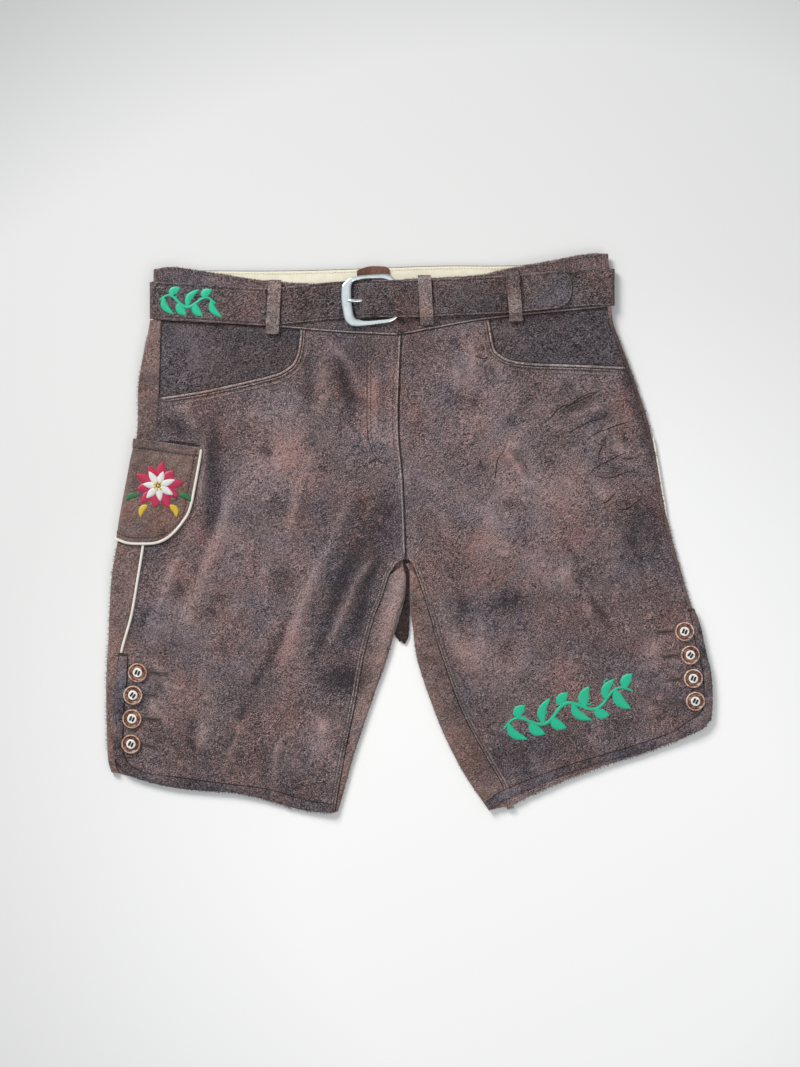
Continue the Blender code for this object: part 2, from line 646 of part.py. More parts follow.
def belt():
    slant = (BUCKLE_OUTSIDE[0][0] - BUCKLE_OUTSIDE[-1][0]) / (BUCKLE_OUTSIDE[0][1] - BUCKLE_OUTSIDE[-1][1])
    grid = []
    for i, (x, z, y, half) in enumerate(belt_stations()):
        lean = slant if i == 0 else 0.0
        grid.append([(x + lean * side * half, y + side * half, z) for side in (-1, 1)])
    strap = wall("belt", grid, BELT, "belt_suede")
    tilt = math.atan2(prong_height(BUCKLE_FACE) - prong_height(BUCKLE_BAR), BUCKLE_BAR - BUCKLE_FACE)
    tools = [cutter("prong_hole", PRONG_HOLE_X, 231.5, prong_height(PRONG_HOLE_X), PRONG / 2 + 0.7, 12,
                    math.pi / 2 + tilt)]
    for k, (x, y) in enumerate(HOLES):
        if x < -10:
            tools.append(cutter(f"belt_hole_{k}", x, y, strap_height(x) + BELT / 2, HOLE_RADIUS, 6))
        else:
            tools.append(cutter(f"belt_hole_{k}", x, y, strap_height(x) + BELT / 2 + 1, HOLE_RADIUS,
                                BELT + 2))
    for tool in tools:
        cut = strap.modifiers.new(tool.name, "BOOLEAN")
        cut.object = tool


def outline(curve, corners, cuts=4, soft=0.32):
    """Closed outline with rounded corners."""
    points = []
    count = len(corners)
    for i, corner in enumerate(corners):
        before, after = corners[i - 1], corners[(i + 1) % count]
        start = (mix(corner[0], before[0], soft), mix(corner[1], before[1], soft))
        end = (mix(corner[0], after[0], soft), mix(corner[1], after[1], soft))
        for k in range(cuts + 1):
            t = k / cuts
            a, b = (1 - t) ** 2, t ** 2
            middle = 1 - a - b
            points.append((a * start[0] + middle * corner[0] + b * end[0],
                           a * start[1] + middle * corner[1] + b * end[1]))
    spline = curve.splines.new("POLY")
    spline.points.add(len(points) - 1)
    for slot, (x, y) in zip(spline.points, points):
        slot.co = (x, y, 0, 1)
    spline.use_cyclic_u = True


def buckle():
    """Flat frame that leans from the broad bar over the strap to the heel bar under it."""
    curve = bpy.data.curves.new("buckle_frame", "CURVE")
    curve.dimensions = "2D"
    curve.fill_mode = "BOTH"
    origin = (BUCKLE_FACE + BUCKLE_BAR) / 2
    outside = [((x - origin) * MM, y * MM) for x, y in BUCKLE_OUTSIDE]
    window = [((x - origin) * MM, y * MM) for x, y in BUCKLE_WINDOW]
    outline(curve, outside)
    outline(curve, window)
    curve.extrude = BUCKLE_THICK / 2 * MM
    frame = bpy.data.objects.new("buckle_frame", curve)
    drop = prong_height(BUCKLE_FACE) - prong_height(BUCKLE_BAR)
    tilt = math.atan2(drop, BUCKLE_BAR - BUCKLE_FACE)
    level = prong_height(origin) - PRONG / 2 - LAYER - BUCKLE_THICK / 2
    frame.location = (origin * MM, 0, level * MM)
    frame.rotation_euler = (0, tilt, 0)
    place(frame, "satin_nickel", PARTS)
    rod = bpy.data.curves.new("buckle_prong", "CURVE")
    rod.dimensions = "3D"
    rod.bevel_depth = PRONG / 2 * MM
    rod.bevel_resolution = 2
    rod.use_fill_caps = True
    spline = rod.splines.new("POLY")
    spline.points.add(1)
    for slot, (x, y) in zip(spline.points, (PRONG_TIP, PRONG_HEEL)):
        slot.co = (x * MM, y * MM, prong_height(x) * MM, 1)
    place(bpy.data.objects.new("buckle_prong", rod), "satin_nickel", PARTS)


# ---------------------------------------------------------------- belt loops

def front_loop(name, x_top, y_top, x_low, y_low, straps):
    """Strip over the strap, its ends down on the waistband."""
    crest = BELT_INSIDE + BELT + LAYER + (BELT + LAYER) * (straps - 1)
    foot, reach = BELT_INSIDE, BELT_WIDTH / 2
    out, drop = LOOP_SHOULDER
    columns = []
    for side in (-1, 1):
        middle = value(BELT_FRONT, (x_top + x_low) / 2 + side * LOOP_WIDTH / 2)
        profile = [(y_top, foot), (middle + reach + LOOP_FOOT, foot),
                   (middle + reach + out, crest - drop), (middle + reach - LOOP_FLAT, crest + LOOP_CLEAR),
                   (middle, crest + LOOP_CLEAR), (middle - reach + LOOP_FLAT, crest + LOOP_CLEAR),
                   (middle - reach - out, crest - drop), (middle - reach - LOOP_FOOT, foot),
                   (y_low, foot)]
        columns.append([(mix(x_top, x_low, (y_top - y) / (y_top - y_low)) + side * LOOP_WIDTH / 2, y, z)
                        for y, z in profile])
    wall(name, list(zip(*columns)), LOOP, "suede_back", flip=True)


def back_loop(name, x_top, y_top, x_low, y_low):
    """Plain strip on the floor under the strap."""
    grid = [[(mix(x_top, x_low, t) + side * LOOP_WIDTH / 2, mix(y_top, y_low, t), 0)
             for side in (-1, 1)] for t in (0, 0.5, 1)]
    wall(name, grid, LOOP, "suede_back", flip=True)


# ---------------------------------------------------------------- patch pocket and trim

def pocket_low(u):
    reach = POCKET_REACH[1 if u > POCKET_MIDDLE else -1]
    return POCKET_BOTTOM + POCKET_CORNER * (abs(u - POCKET_MIDDLE) / reach) ** POCKET_ROUND


def pocket_high(u):
    return POCKET_TOP + POCKET_SLOPE * u


def side_pocket(leg):
    grid = []
    for i in range(9):
        grid.append([around(leg, u, mix(pocket_high(u), pocket_low(u), i / 8), LEATHER + POCKET_CLEAR)
                     for u in POCKET_ACROSS])
    wall("side_pocket", grid, LEATHER, "suede_front", flip=True)
    edge_u = POCKET_ACROSS[0]
    edge = [(edge_u, mix(pocket_high(edge_u), pocket_low(edge_u), t)) for t in (0.02, 0.35, 0.7)]
    edge += [(u, pocket_low(u)) for u in POCKET_ACROSS if u > 3]
    grid = []
    for k, (u, y) in enumerate(edge):
        a, b = edge[max(k - 1, 0)], edge[min(k + 1, len(edge) - 1)]
        du, dy = b[0] - a[0], b[1] - a[1]
        length = math.hypot(du, dy)
        nu, ny = -dy / length, du / length
        grid.append([around(leg, u + nu * d, y + ny * d, LEATHER + POCKET_CLEAR)
                     for d in (PIPING_GAP, PIPING_GAP + PIPING_WIDTH)])
    wall("side_pocket_piping", grid, LEATHER, "cream_piping", flip=False)


def side_piping(leg, name, heights, out, spread):
    """Narrow ribbon along a side seam."""
    grid = []
    steps = 12
    for k in range(steps + 1):
        y = mix(*heights, k / steps)
        grid.append([around(leg, u, y, out) for u in spread(y)])
    wall(name, grid, 0.8, "cream_piping", flip=leg.side < 0)


def buttons():
    for side, rows in BUTTONS.items():
        for k, (x, y) in enumerate(rows, 1):
            rim = [(x + BUTTON_RADIUS * math.cos(a), y + BUTTON_RADIUS * math.sin(a))
                   for a in (math.tau * j / 12 for j in range(12))]
            seat = max(top(px, py) for px, py in rim + [(x, y)]) + LAYER
            bpy.ops.mesh.primitive_cylinder_add(
                vertices=20, radius=BUTTON_RADIUS * MM, depth=BUTTON_THICK * MM,
                location=(x * MM, y * MM, (seat + BUTTON_THICK / 2) * MM))
            button = bpy.context.object
            button.name = f"button_{side}_{k}"
            edge = button.modifiers.new("edge", "BEVEL")
            edge.width = 0.8 * MM
            edge.segments = 1
            edge.limit_method = "ANGLE"
            place(button, "horn", PARTS)


def crotch_tab():
    grid = []
    for k in range(TAB_ROWS + 1):
        y_left = mix(TAB_LEFT_EDGE[0][0], TAB_LEFT_EDGE[-1][0], k / TAB_ROWS)
        y_right = mix(TAB_RIGHT_EDGE[0][0], TAB_RIGHT_EDGE[-1][0], k / TAB_ROWS)
        grid.append([(value(TAB_LEFT_EDGE, y_left), y_left, TAB_LEVEL),
                     (value(TAB_RIGHT_EDGE, y_right), y_right, TAB_LEVEL)])
    wall("crotch_tab", grid, LEATHER, "suede_facing")


# ---------------------------------------------------------------- the garment

for old in list(bpy.data.objects):
    bpy.data.objects.remove(old, do_unlink=True)
PARTS = bpy.data.collections.new("lederhosen")
CUTTERS = bpy.data.collections.new("cutters")
for made_collection in (PARTS, CUTTERS):
    bpy.context.scene.collection.children.link(made_collection)

RIGHT, LEFT = Leg(-1), Leg(1)
for wearer_leg, label in ((RIGHT, "right"), (LEFT, "left")):
    front_panel(wearer_leg, f"front_{label}")
    back_panel(wearer_leg, f"back_{label}")
    facing(wearer_leg, f"pocket_facing_{label}")
waistband_fronts()
waistband_back()
lining()
hanger_tab()
belt()
buckle()
for number, loop in enumerate(FRONT_LOOPS, 1):
    front_loop(f"belt_loop_front_{number}", *loop)
for number, loop in enumerate(BACK_LOOPS, 1):
    back_loop(f"belt_loop_back_{number}", *loop)
side_pocket(RIGHT)
side_piping(RIGHT, "side_piping_right", SIDE_PIPING, PIPING_THICK[-1],
            lambda y: [RIGHT.side_x(y) - RIGHT.outer_x(y) + d for d in RIGHT_PIPING_SPAN])
side_piping(LEFT, "side_piping_left", LEFT_PIPING, PIPING_THICK[1], lambda y: LEFT_PIPING_SPAN)
buttons()
crotch_tab()
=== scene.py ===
"""Looks of the lederhosen: suede shells with their creases, thread, trim, belt, buckle, buttons.

Plan tables are in millimetres in the frame's plan: +X towards the wearer's left, +Y to the waist,
+Z up from the floor that the garment lies on.
"""
import math

import bpy
import numpy as np
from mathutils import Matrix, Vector, noise


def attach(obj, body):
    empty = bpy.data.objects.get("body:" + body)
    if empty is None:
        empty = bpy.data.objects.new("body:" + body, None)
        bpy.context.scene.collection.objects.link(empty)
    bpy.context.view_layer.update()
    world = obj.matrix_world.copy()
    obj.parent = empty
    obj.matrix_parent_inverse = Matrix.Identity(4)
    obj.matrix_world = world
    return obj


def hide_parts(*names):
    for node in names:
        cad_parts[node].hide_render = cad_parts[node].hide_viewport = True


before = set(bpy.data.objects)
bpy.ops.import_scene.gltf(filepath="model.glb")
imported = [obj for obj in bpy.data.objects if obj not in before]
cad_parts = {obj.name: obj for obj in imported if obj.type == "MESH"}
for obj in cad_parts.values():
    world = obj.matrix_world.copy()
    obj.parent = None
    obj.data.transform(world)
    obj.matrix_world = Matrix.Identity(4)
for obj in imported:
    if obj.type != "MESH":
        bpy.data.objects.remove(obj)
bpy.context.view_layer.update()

MM = 0.001

# ---------------------------------------------------------------- sizes shared with the solids

LEATHER, LINING, BELT, LOOP = 1.6, 1.0, 2.6, 1.4
SEAM, LAYER, EASE = 0.35, 0.3, 1.4
# Drawn thickness of the shells, a little under that of their solids
WALL, TRIM_WALL, FACING_WALL, LINING_WALL, BELT_WALL, HEM_WALL = 1.4, 1.3, 1.0, 0.8, 2.5, 0.9
WAIST_EASE = LINING + 2 * LAYER
EDGE_LOFT, LOFT_RUN = 1.6, 28.0
BACK_WAIST_LEVEL = LOOP + LAYER + BELT + LAYER
FRONT_WAIST_LEVEL = BACK_WAIST_LEVEL + 2 * LEATHER + WAIST_EASE
BELT_INSIDE = FRONT_WAIST_LEVEL + LAYER
UPPER_STRAP = BELT_INSIDE + BELT + LAYER
WAIST_FLAT, WAIST_RUN = 26.0, 90.0

# Edges of the legs: rows of (height y, x)
OUTER_RIGHT = [(213, -258.6), (200, -260.8), (187, -263.8), (148, -270.5), (98, -272), (18, -286),
               (-42, -297), (-112, -301), (-153, -303), (-227, -301), (-240, -297.5)]
SEAM_RIGHT = [(213, -247.4), (121, -250.8), (95, -254), (-10, -266), (-48, -272), (-83, -278.3),
              (-121, -288.5), (-168, -293.7), (-215, -295), (-230, -291), (-240, -283)]
OUTER_LEFT = [(226, 201.8), (208, 204.5), (188, 212), (148, 227), (108, 240), (68, 248), (28, 255),
              (-42, 273), (-112, 294), (-152, 301), (-172, 303.5), (-190, 299.5)]
INSEAM_RIGHT = [(-25, -3.4), (-29, -10.7), (-36, -16), (-45, -20.6), (-67, -27.5), (-84, -34.4),
                (-123, -45), (-173, -54), (-216, -63), (-279, -74)]
FOLD_RIGHT = [(-25, -2.5), (-63, -3.8), (-80, -10), (-103, -15.5), (-127, -22.5), (-162, -35),
              (-222, -55), (-279, -71)]
INSEAM_LEFT = [(-25, -1.6), (-32, 3.8), (-42, 7.3), (-53, 11.5), (-87, 22.2), (-110, 28.3),
               (-174, 51), (-219, 74.2), (-254, 94), (-277, 99)]
FOLD_LEFT = [(-25, 0.4), (-42, 0.6), (-76, 1.5), (-94, 3.8), (-127, 8.4), (-182, 27), (-212, 40),
             (-242, 56), (-277, 79.6)]
FLY = [(198, -8.0), (121, -10.8), (91, -10), (54, -6.6), (-25, -3.4)]
CENTRE_BACK, CROTCH = -5.0, -25.0
HEM_RIGHT = [(-298, 0), (-225, -3.8), (-166, 1), (-107, -3.4), (-71, 0)]
HEM_LEFT = [(79, 0), (98, 3.5), (144, 5), (194, 2), (247, -4), (290, -4), (300, 0)]
INSEAM_INSET, SEAM_INSET = 5.5, 3.8

# Waist edges: rows of (x, y)
WAIST_SEAM_RIGHT = [(-258, 213), (-142, 206.5), (-70, 200.5), (-8, 197.4)]
WAIST_SEAM_LEFT = [(-8, 198), (21, 203.5), (77, 213.4), (202, 226)]
WAIST_SEAM_BACK = [(-258, 213), (-130, 211), (-5, 213), (110, 220), (203, 226)]
WAIST_TOP_RIGHT = [(-256, 263), (-238, 265.5), (-202, 260.7), (-142, 251.6), (-68, 248.4), (-8, 253)]
WAIST_TOP_LEFT = [(-8, 253), (71, 257.4), (93, 262.5), (142, 271.7), (179, 278.5), (200, 278.8)]
WAIST_TOP_BACK = [(-256, 262.8), (-119, 262.2), (31, 267), (115, 268), (200, 278.6)]
WAIST_SIDES = {-1: (-255.6, -255.2), 1: (201.8, 199.0)}
WAIST_ENDS = {-1: -250.6, 1: 196.6}

# Curved edge of each hip pocket, from the side to the waist seam: rows of (x, y)
SCOOP_RIGHT = [(-249, 134.7), (-203, 142), (-140, 156.2), (-124.7, 162), (-114.8, 170.3),
               (-109.8, 184), (-108, 203.2)]
SCOOP_LEFT = [(216.6, 165.3), (163, 167.6), (122, 169.1), (101.6, 172.2), (90.4, 177.8),
              (84.3, 186), (79, 213.5)]
FACING_DROP, FACING_UNDER = 1.5, 7.0

# Soft folds of the front: x, y, half length, half width, turn in degrees, height
RELIEF = [(-84, -137, 75, 26, 42, 1.5), (-169, -205, 50, 24, 88, 1.2), (-109, 80, 80, 45, 5, 0.7),
          (66, -127, 75, 30, -52, 1.2), (151, 50, 75, 42, 32, 0.9), (170, -150, 60, 34, 15, 0.7)]

# Belt: rows of (x, y of the strap's middle)
BELT_WIDTH = 36.5
BELT_FRONT = [(-259, 232.3), (-212, 230), (-142, 225.4), (-120, 227.5), (-64, 232.6), (-9, 233.4),
              (71, 236.5), (111, 239), (183, 245.6), (206, 245.6)]
BELT_BACK = [(-259, 232.3), (-130, 233), (-5, 238), (120, 243), (206, 245.6)]
BELT_ENDS = {-1: -259.0, 1: 205.4}
HOLES = [(-103.4, 227.5), (-76, 228.6), (-23, 234.4), (4, 234.2)]
BUCKLE_THICK, BUCKLE_BAR, BUCKLE_FACE = 2.6, -9.0, -52.0
PRONG, PRONG_CLEAR = 1.8, 0.5
PRONG_TIP, PRONG_HEEL = (-60.5, 231.0), (-13.5, 232.6)
STRAP_RISE = (-52.0, -42.0)
LOOP_WIDTH = 12.6
FRONT_LOOPS = [(-133.7, 252.5, -136.3, 198.6, 1), (15.2, 257.0, 18.0, 208.0, 2),
               (102.6, 263.5, 106.8, 211.5, 2)]
BACK_LOOPS = [(-105.0, 259.0, -105.0, 209.0), (85.0, 264.0, 85.0, 215.0)]

# Patch pocket, in distances round the fold (positive on the front) and heights
POCKET_MIDDLE, POCKET_REACH = 27.0, {1: 40.0, -1: 45.0}
POCKET_TOP, POCKET_SLOPE, POCKET_BOTTOM = 94.3, -0.136, -9.4
POCKET_CORNER, POCKET_ROUND, POCKET_CLEAR = 31.0, 3.2, 0.8
POCKET_LIFT, POCKET_SHELF, POCKET_RAMP = LEATHER + POCKET_CLEAR, 28.0, 65.0
BUTTONS = {"right": [(-271.2, -139.5), (-275.8, -162), (-276.7, -185.6), (-277.7, -210.8)],
           "left": [(275.2, -98.3), (281, -121.8), (283.9, -145.3), (286, -168)]}

# ---------------------------------------------------------------- curves and heights


def ease(amount):
    amount = np.clip(amount, 0.0, 1.0)
    return amount * amount * (3 - 2 * amount)


def mix(a, b, t):
    return a + (b - a) * t


def curve(rows, at):
    """Value at a position of the smooth curve through (position, value) rows."""
    rows = np.array(sorted(rows), float)
    x, y = rows[:, 0], rows[:, 1]
    last = len(x) - 1
    steps = np.arange(len(x))
    before, after = np.maximum(steps - 1, 0), np.minimum(steps + 1, last)
    slope = (y[after] - y[before]) / (x[after] - x[before])
    at = np.clip(at, x[0], x[-1])
    i = np.clip(np.searchsorted(x, at, side="right") - 1, 0, last - 1)
    width = x[i + 1] - x[i]
    t = (at - x[i]) / width
    return (y[i] + (y[i + 1] - y[i]) * t * t * (3 - 2 * t)
            + slope[i] * width * t * (1 - t) ** 2 - slope[i + 1] * width * t * t * (1 - t))


def bell(distance, width):
    """Bump of height 1 at no distance, with soft sides."""
    return np.exp(-(distance / width) ** 2)


def stack(*parts):
    """Points from their coordinates, which may be arrays or numbers."""
    return np.stack(np.broadcast_arrays(*parts), -1)


def along_x(rows, x, gap=0.0):
    """Plan points on a curve of (x, y) rows, moved by a gap towards +Y."""
    return stack(x, curve(rows, x) + gap)


def along_y(rows, y, gap=0.0):
    """Plan points on a curve of (y, x) rows, moved by a gap towards +X."""
    return stack(curve(rows, y) + gap, y)


def lengths(path):
    path = np.asarray(path, float)
    steps = np.linalg.norm(np.diff(path, axis=0), axis=1)
    return np.concatenate([[0], np.cumsum(steps)])


def along(path, fractions):
    """Points at fractions of the length of a polyline."""
    path = np.asarray(path, float)
    run = lengths(path)
    at = np.asarray(fractions) * run[-1]
    return np.stack([np.interp(at, run, path[:, k]) for k in range(path.shape[1])], -1)


def smooth_path(path, pieces=8):
    """Rounded polyline through the given points (Catmull-Rom)."""
    p = np.asarray(path, float)
    p = np.vstack([2 * p[0] - p[1], p, 2 * p[-1] - p[-2]])
    out = []
    for k in range(1, len(p) - 2):
        for t in np.linspace(0, 1, pieces, endpoint=False):
            a, b, c, d = p[k - 1:k + 3]
            out.append(0.5 * (2 * b + (c - a) * t + (2 * a - 5 * b + 4 * c - d) * t * t
                              + (3 * b - a - 3 * c + d) * t ** 3))
    return np.array(out + [p[-2]])


def pocket_lift(x, y):
    inside = ease((curve(OUTER_RIGHT, y) + POCKET_SHELF + POCKET_RAMP - x) / POCKET_RAMP)
    below = ease((y - POCKET_BOTTOM + POCKET_SHELF + POCKET_RAMP) / POCKET_RAMP)
    above = ease((POCKET_TOP + POCKET_SHELF + POCKET_RAMP - y) / POCKET_RAMP)
    return POCKET_LIFT * inside * below * above


def under(x, y):
    """Height of the back layer's underside."""
    below = curve(WAIST_SEAM_BACK, x) - y - WAIST_FLAT
    waist = BACK_WAIST_LEVEL * (1 - ease(below / WAIST_RUN))
    return np.maximum(waist, pocket_lift(x, y))


def hills(x, y, rows):
    total = np.zeros_like(np.asarray(x, float))
    for cx, cy, length, width, turn, height in rows:
        a = math.radians(turn)
        u = ((x - cx) * math.cos(a) + (y - cy) * math.sin(a)) / length
        w = (-(x - cx) * math.sin(a) + (y - cy) * math.cos(a)) / width
        total = total + height * np.exp(-u * u - w * w)
    return total


def top(x, y):
    """Height of the front layer's surface, as the solids have it."""
    near_waist = ease(1 - (curve(WAIST_SEAM_BACK, x) - y - WAIST_FLAT) / WAIST_RUN)
    sides = np.minimum(abs(x - curve(OUTER_RIGHT, y)), abs(x - curve(OUTER_LEFT, y)))
    fold = np.where(np.asarray(x) < 0, curve(FOLD_RIGHT, y), curve(FOLD_LEFT, y))
    sides = np.where(np.asarray(y) < CROTCH, np.minimum(sides, abs(x - fold)), sides)
    loft = EDGE_LOFT * bell(sides, LOFT_RUN)
    hollow = mix(EASE + loft + hills(x, y, RELIEF), WAIST_EASE, near_waist)
    return under(x, y) + 2 * LEATHER + hollow


# Creases of the leather: ends (x0, y0) and (x1, y1), sideways bow, half width, height (a trough is
# below 0), in millimetres
CREASES = [
    # right leg: long folds that fan from the crotch down to the hem
    (-52, 50, -138, -165, -3, 6, 1.3), (-44, 2, -102, -146, -2, 5.5, -1.3),
    (-28, -12, -88, -134, -4, 4, 1.6), (-24, -20, -60, -140, -7, 5, -1.5),
    (-114, -72, -160, -168, 0, 3.6, -1.7), (-158, -164, -184, -230, -3, 3.4, -0.9),
    (-166, -188, -185, -240, 0, 3, 0.9), (-126, -198, -138, -256, 0, 4, 1.5),
    (-213, -176, -220, -232, 0, 5, -1.0), (-198, -190, -218, -225, 0, 6, 1.1),
    (-88, -176, -84, -226, 0, 8, 0.9), (-108, -205, -104, -236, 0, 6, -0.8),
    # beside the side pocket
    (-206, 100, -212, 8, 3.5, 3.4, 1.3), (-212, 10, -262, -95, 0, 5, 0.9),
    (-197, 130, -205, -28, 7, 6, -1.7), (-205, -18, -220, -46, 0, 4, -0.9),
    (-166, 72, -232, -110, 3, 7, 1.3), (-234, 132, -208, 98, 3, 5, 0.9),
    (-250, 116, -214, 92, 2, 5, -1.0), (-158, 130, -146, 106, 0, 8, 1.0),
    (-176, 132, -174, 112, 0, 5, 0.5),
    # middle of the thigh
    (-98, 80, -134, -28, 2, 5, 1.0), (-138, -30, -150, -56, 0, 5, 0.8),
    (-124, -30, -130, -72, 0, 6, -1.0), (-140, 95, -142, 70, 0, 7, -0.8),
    (-136, 40, -126, 24, 0, 6, -0.7), (-186, -58, -206, -86, 0, 6, -0.9),
    (-236, -66, -220, -48, 0, 5, -0.9), (-272, -102, -254, -68, 0, 4, -0.9),
    (-182, -72, -168, -86, 0, 6, 0.7), (-118, 130, -116, 112, 0, 7, 0.7), (-49, 42, -52, 16, 0, 6, -0.6),
    (-192, -108, -180, -128, 0, 6, -0.6),
    # under the waist and beside the fly
    (-74, 180, -55, 98, 5, 5.5, -1.6), (-88, 197, -47, 132, 8, 4, 1.3), (-86, 178, -84, 108, 0, 5, 0.9),
    (-101, 180, -99, 112, 0, 5, -1.0), (-36, 188, -34, 80, 0, 7, 0.9), (-15, 190, -14, 78, 0, 6, 0.8),
    (-27, 150, -26, 90, 0, 3.5, -0.5), (-8, 66, 0, 34, 0, 5, 0.8), (-14, 30, -34, -6, 0, 5, -0.6),
    # beside the right buttonholes
    (-262, -126, -238, -150, 3, 4, 0.8), (-262, -150, -236, -172, 3, 4, -0.7),
    (-262, -172, -238, -196, 3, 4, 0.8), (-262, -196, -240, -222, 3, 4, -0.6),
    (-250, -150, -226, -160, 2, 3, 0.6), (-228, -150, -218, -172, 2, 3, 0.7),
    (-254, -214, -226, -222, 2, 3, 0.7), (-232, -206, -208, -214, 2, 3, -0.6),
    (-246, -226, -214, -236, 2, 3, 0.6),
    # left leg: inseam, middle and outer side
    (6, -48, 120, -168, -10, 8, 0.7), (20, -62, 88, -200, -8, 6, -0.6), (36, 24, 38, -12, 0, 5, 0.8),
    (94, -6, 95, -30, 0, 7, 0.9), (54, -46, 54, -108, 0, 6, -0.9), (71, -72, 76, -134, 0, 6, 0.8),
    (74, 28, 90, 2, 0, 6, 0.8), (90, 33, 120, 24, 0, 3.5, -1.1), (96, 88, 118, 48, 0, 3, 1.1),
    (105, 82, 125, 52, 0, 3.2, -1.2), (153, -5, 173, -34, 0, 3.2, -1.3),
    (172, -30, 173, -62, 0, 3.4, -0.9), (176, -60, 209, -108, 2, 3.4, -1.6),
    (176, -70, 190, -98, 0, 4, 1.0), (150, -42, 166, -44, 0, 8, 1.1), (212, -7, 234, -10, 0, 5, -0.9),
    (60, 134, 74, 128, 0, 7, -1.1), (116, 134, 127, 133, 0, 4, -0.9), (150, 146, 168, 147, 0, 7, -0.8),
    (45, 198, 46, 180, 0, 5, -1.0), (82, 168, 82, 142, 0, 7, -0.9), (62, 194, 66, 152, 0, 5, 1.1),
    (46, 170, 50, 142, 0, 5, 0.9), (96, 114, 112, 109, 0, 6, -0.8), (142, 82, 142, 60, 0, 9, -0.8),
    (216, 68, 198, 54, 0, 5, -0.9), (72, 72, 76, 58, 0, 5, -0.8), (96, 90, 118, 84, 0, 5, 0.8),
    (20, 118, 28, 108, 0, 6, 0.9), (200, 92, 226, 78, 0, 5, 0.8), (182, 42, 208, 36, 0, 8, 0.8),
    (196, 8, 206, -12, 0, 6, 0.7), (91, -62, 116, -72, 0, 7, -0.9), (70, -92, 76, -100, 0, 6, 0.7),
    (92, -110, 106, -122, 0, 7, -0.7), (182, -216, 196, -188, 0, 6, 0.8),
    (118, -216, 128, -238, 0, 5, 0.8), (117, -222, 120, -250, 0, 4, -0.8),
    (236, -176, 252, -182, 0, 5, 0.7), (258, -100, 232, -128, 3, 4, 0.8),
    (264, -122, 236, -150, 3, 4, -0.7), (266, -146, 240, -172, 3, 4, 0.8),
    (266, -168, 236, -196, 3, 5, -0.6),
    # crackle at the left hip
    (146, 114, 196, 138, 2, 2.8, -1.0), (158, 112, 206, 128, 2, 2.8, 0.8),
    (176, 108, 214, 120, 2, 2.8, -0.9), (186, 96, 226, 112, 2, 3, 0.8), (196, 84, 230, 94, 2, 3, -0.7),
    (200, 70, 236, 84, 2, 3, 0.6)]

# Puckers of the hip facings, and broad folds of the back; rows as above
FACING_CREASES = [
    (-224, 206, -200, 150, 5, 6, 1.3), (-228, 200, -226, 152, 5, 5, -1.2),
    (-238, 185, -236, 150, 0, 5, 0.7), (-184, 200, -150, 182, 0, 5, -0.8),
    (-166, 202, -122, 182, 3, 5, 0.9), (-236, 208, -160, 160, 6, 5, 0.8),
    (-220, 210, -130, 172, 7, 5, -0.6), (-200, 208, -122, 190, 4, 4, 0.7),
    (-246, 190, -196, 148, 4, 5, 0.6), (194, 222, 120, 176, -6, 5, 0.8),
    (176, 222, 100, 186, -6, 5, -0.6), (204, 206, 150, 172, -4, 5, 0.8),
    (208, 190, 176, 170, -3, 4, -0.5), (150, 218, 96, 196, -4, 4, 0.6)]
BACK_CREASES = [
    (-20, -40, -150, -90, 10, 9, 0.5), (-30, -60, -170, -150, 12, 8, 0.5),
    (-40, -100, -120, -230, 8, 7, 0.4), (-200, 60, -80, 20, 12, 10, 0.5),
    (-240, -40, -140, -80, 8, 8, 0.4), (-180, 130, -60, 110, 9, 9, 0.4), (12, -40, 150, -80, -10, 9, 0.5),
    (30, -60, 170, -140, -12, 8, 0.5), (50, -110, 110, -220, -8, 7, 0.4), (70, 30, 220, 70, -12, 10, 0.5),
    (140, -60, 250, -30, -8, 8, 0.4), (60, 120, 180, 140, -9, 9, 0.4),
    (-230, -170, -120, -190, 6, 6, 0.4), (240, -150, 120, -200, 6, 6, 0.4)]


CREASE_DEPTH = 2.3


def creases(x, y, rows):
    """Soft troughs and ridges, uneven along their length."""
    x, y = np.asarray(x, float), np.asarray(y, float)
    total = np.zeros(np.broadcast(x, y).shape)
    for k, (x0, y0, x1, y1, bow, width, height) in enumerate(rows):
        dx, dy = x1 - x0, y1 - y0
        length = math.hypot(dx, dy)
        dx, dy = dx / length, dy / length
        t = ((x - x0) * dx + (y - y0) * dy) / length
        wander = 0.22 * width * np.sin(t * 9 + k)
        off = -(x - x0) * dy + (y - y0) * dx - bow * 4 * t * (1 - t) - wander
        body = ease(t / 0.3) * ease((1 - t) / 0.4) * (1 + 0.35 * np.sin(t * 14 + 2.1 * k))
        total += CREASE_DEPTH * height * body * bell(off, width)
    return total


def ripple(x, y, scale, seed):
    """Smooth noise from -1 to 1 over the plan."""
    x, y = np.broadcast_arrays(np.asarray(x, float), np.asarray(y, float))
    flat = [noise.fractal(Vector((a / scale, b / scale, seed)), 0.9, 2.0, 3,
                          noise_basis="PERLIN_ORIGINAL") for a, b in zip(x.ravel(), y.ravel())]
    return np.clip(np.array(flat).reshape(x.shape), -1, 1)


def calm(x, y):
    """Share of the relief that is left near the waist."""
    return 1 - 0.8 * ease(1 - (curve(WAIST_SEAM_BACK, x) - np.asarray(y) - 6) / 26)


TWO_LAYERS = 3.0         # least height of the front's surface over the back layer's underside


def front_z(x, y, rough=True):
    """Height of the visible front's surface; its troughs end on the back layer."""
    z = top(x, y) + creases(x, y, CREASES) * calm(x, y)
    if rough:
        z = z + 0.42 * ripple(x, y, 26, 3.1) * calm(x, y) + 0.13 * ripple(x, y, 6.5, 8.7)
    over = z - under(x, y) - TWO_LAYERS
    return z - over + np.where(over > 1, over, np.exp(np.minimum(over, 1) - 1))


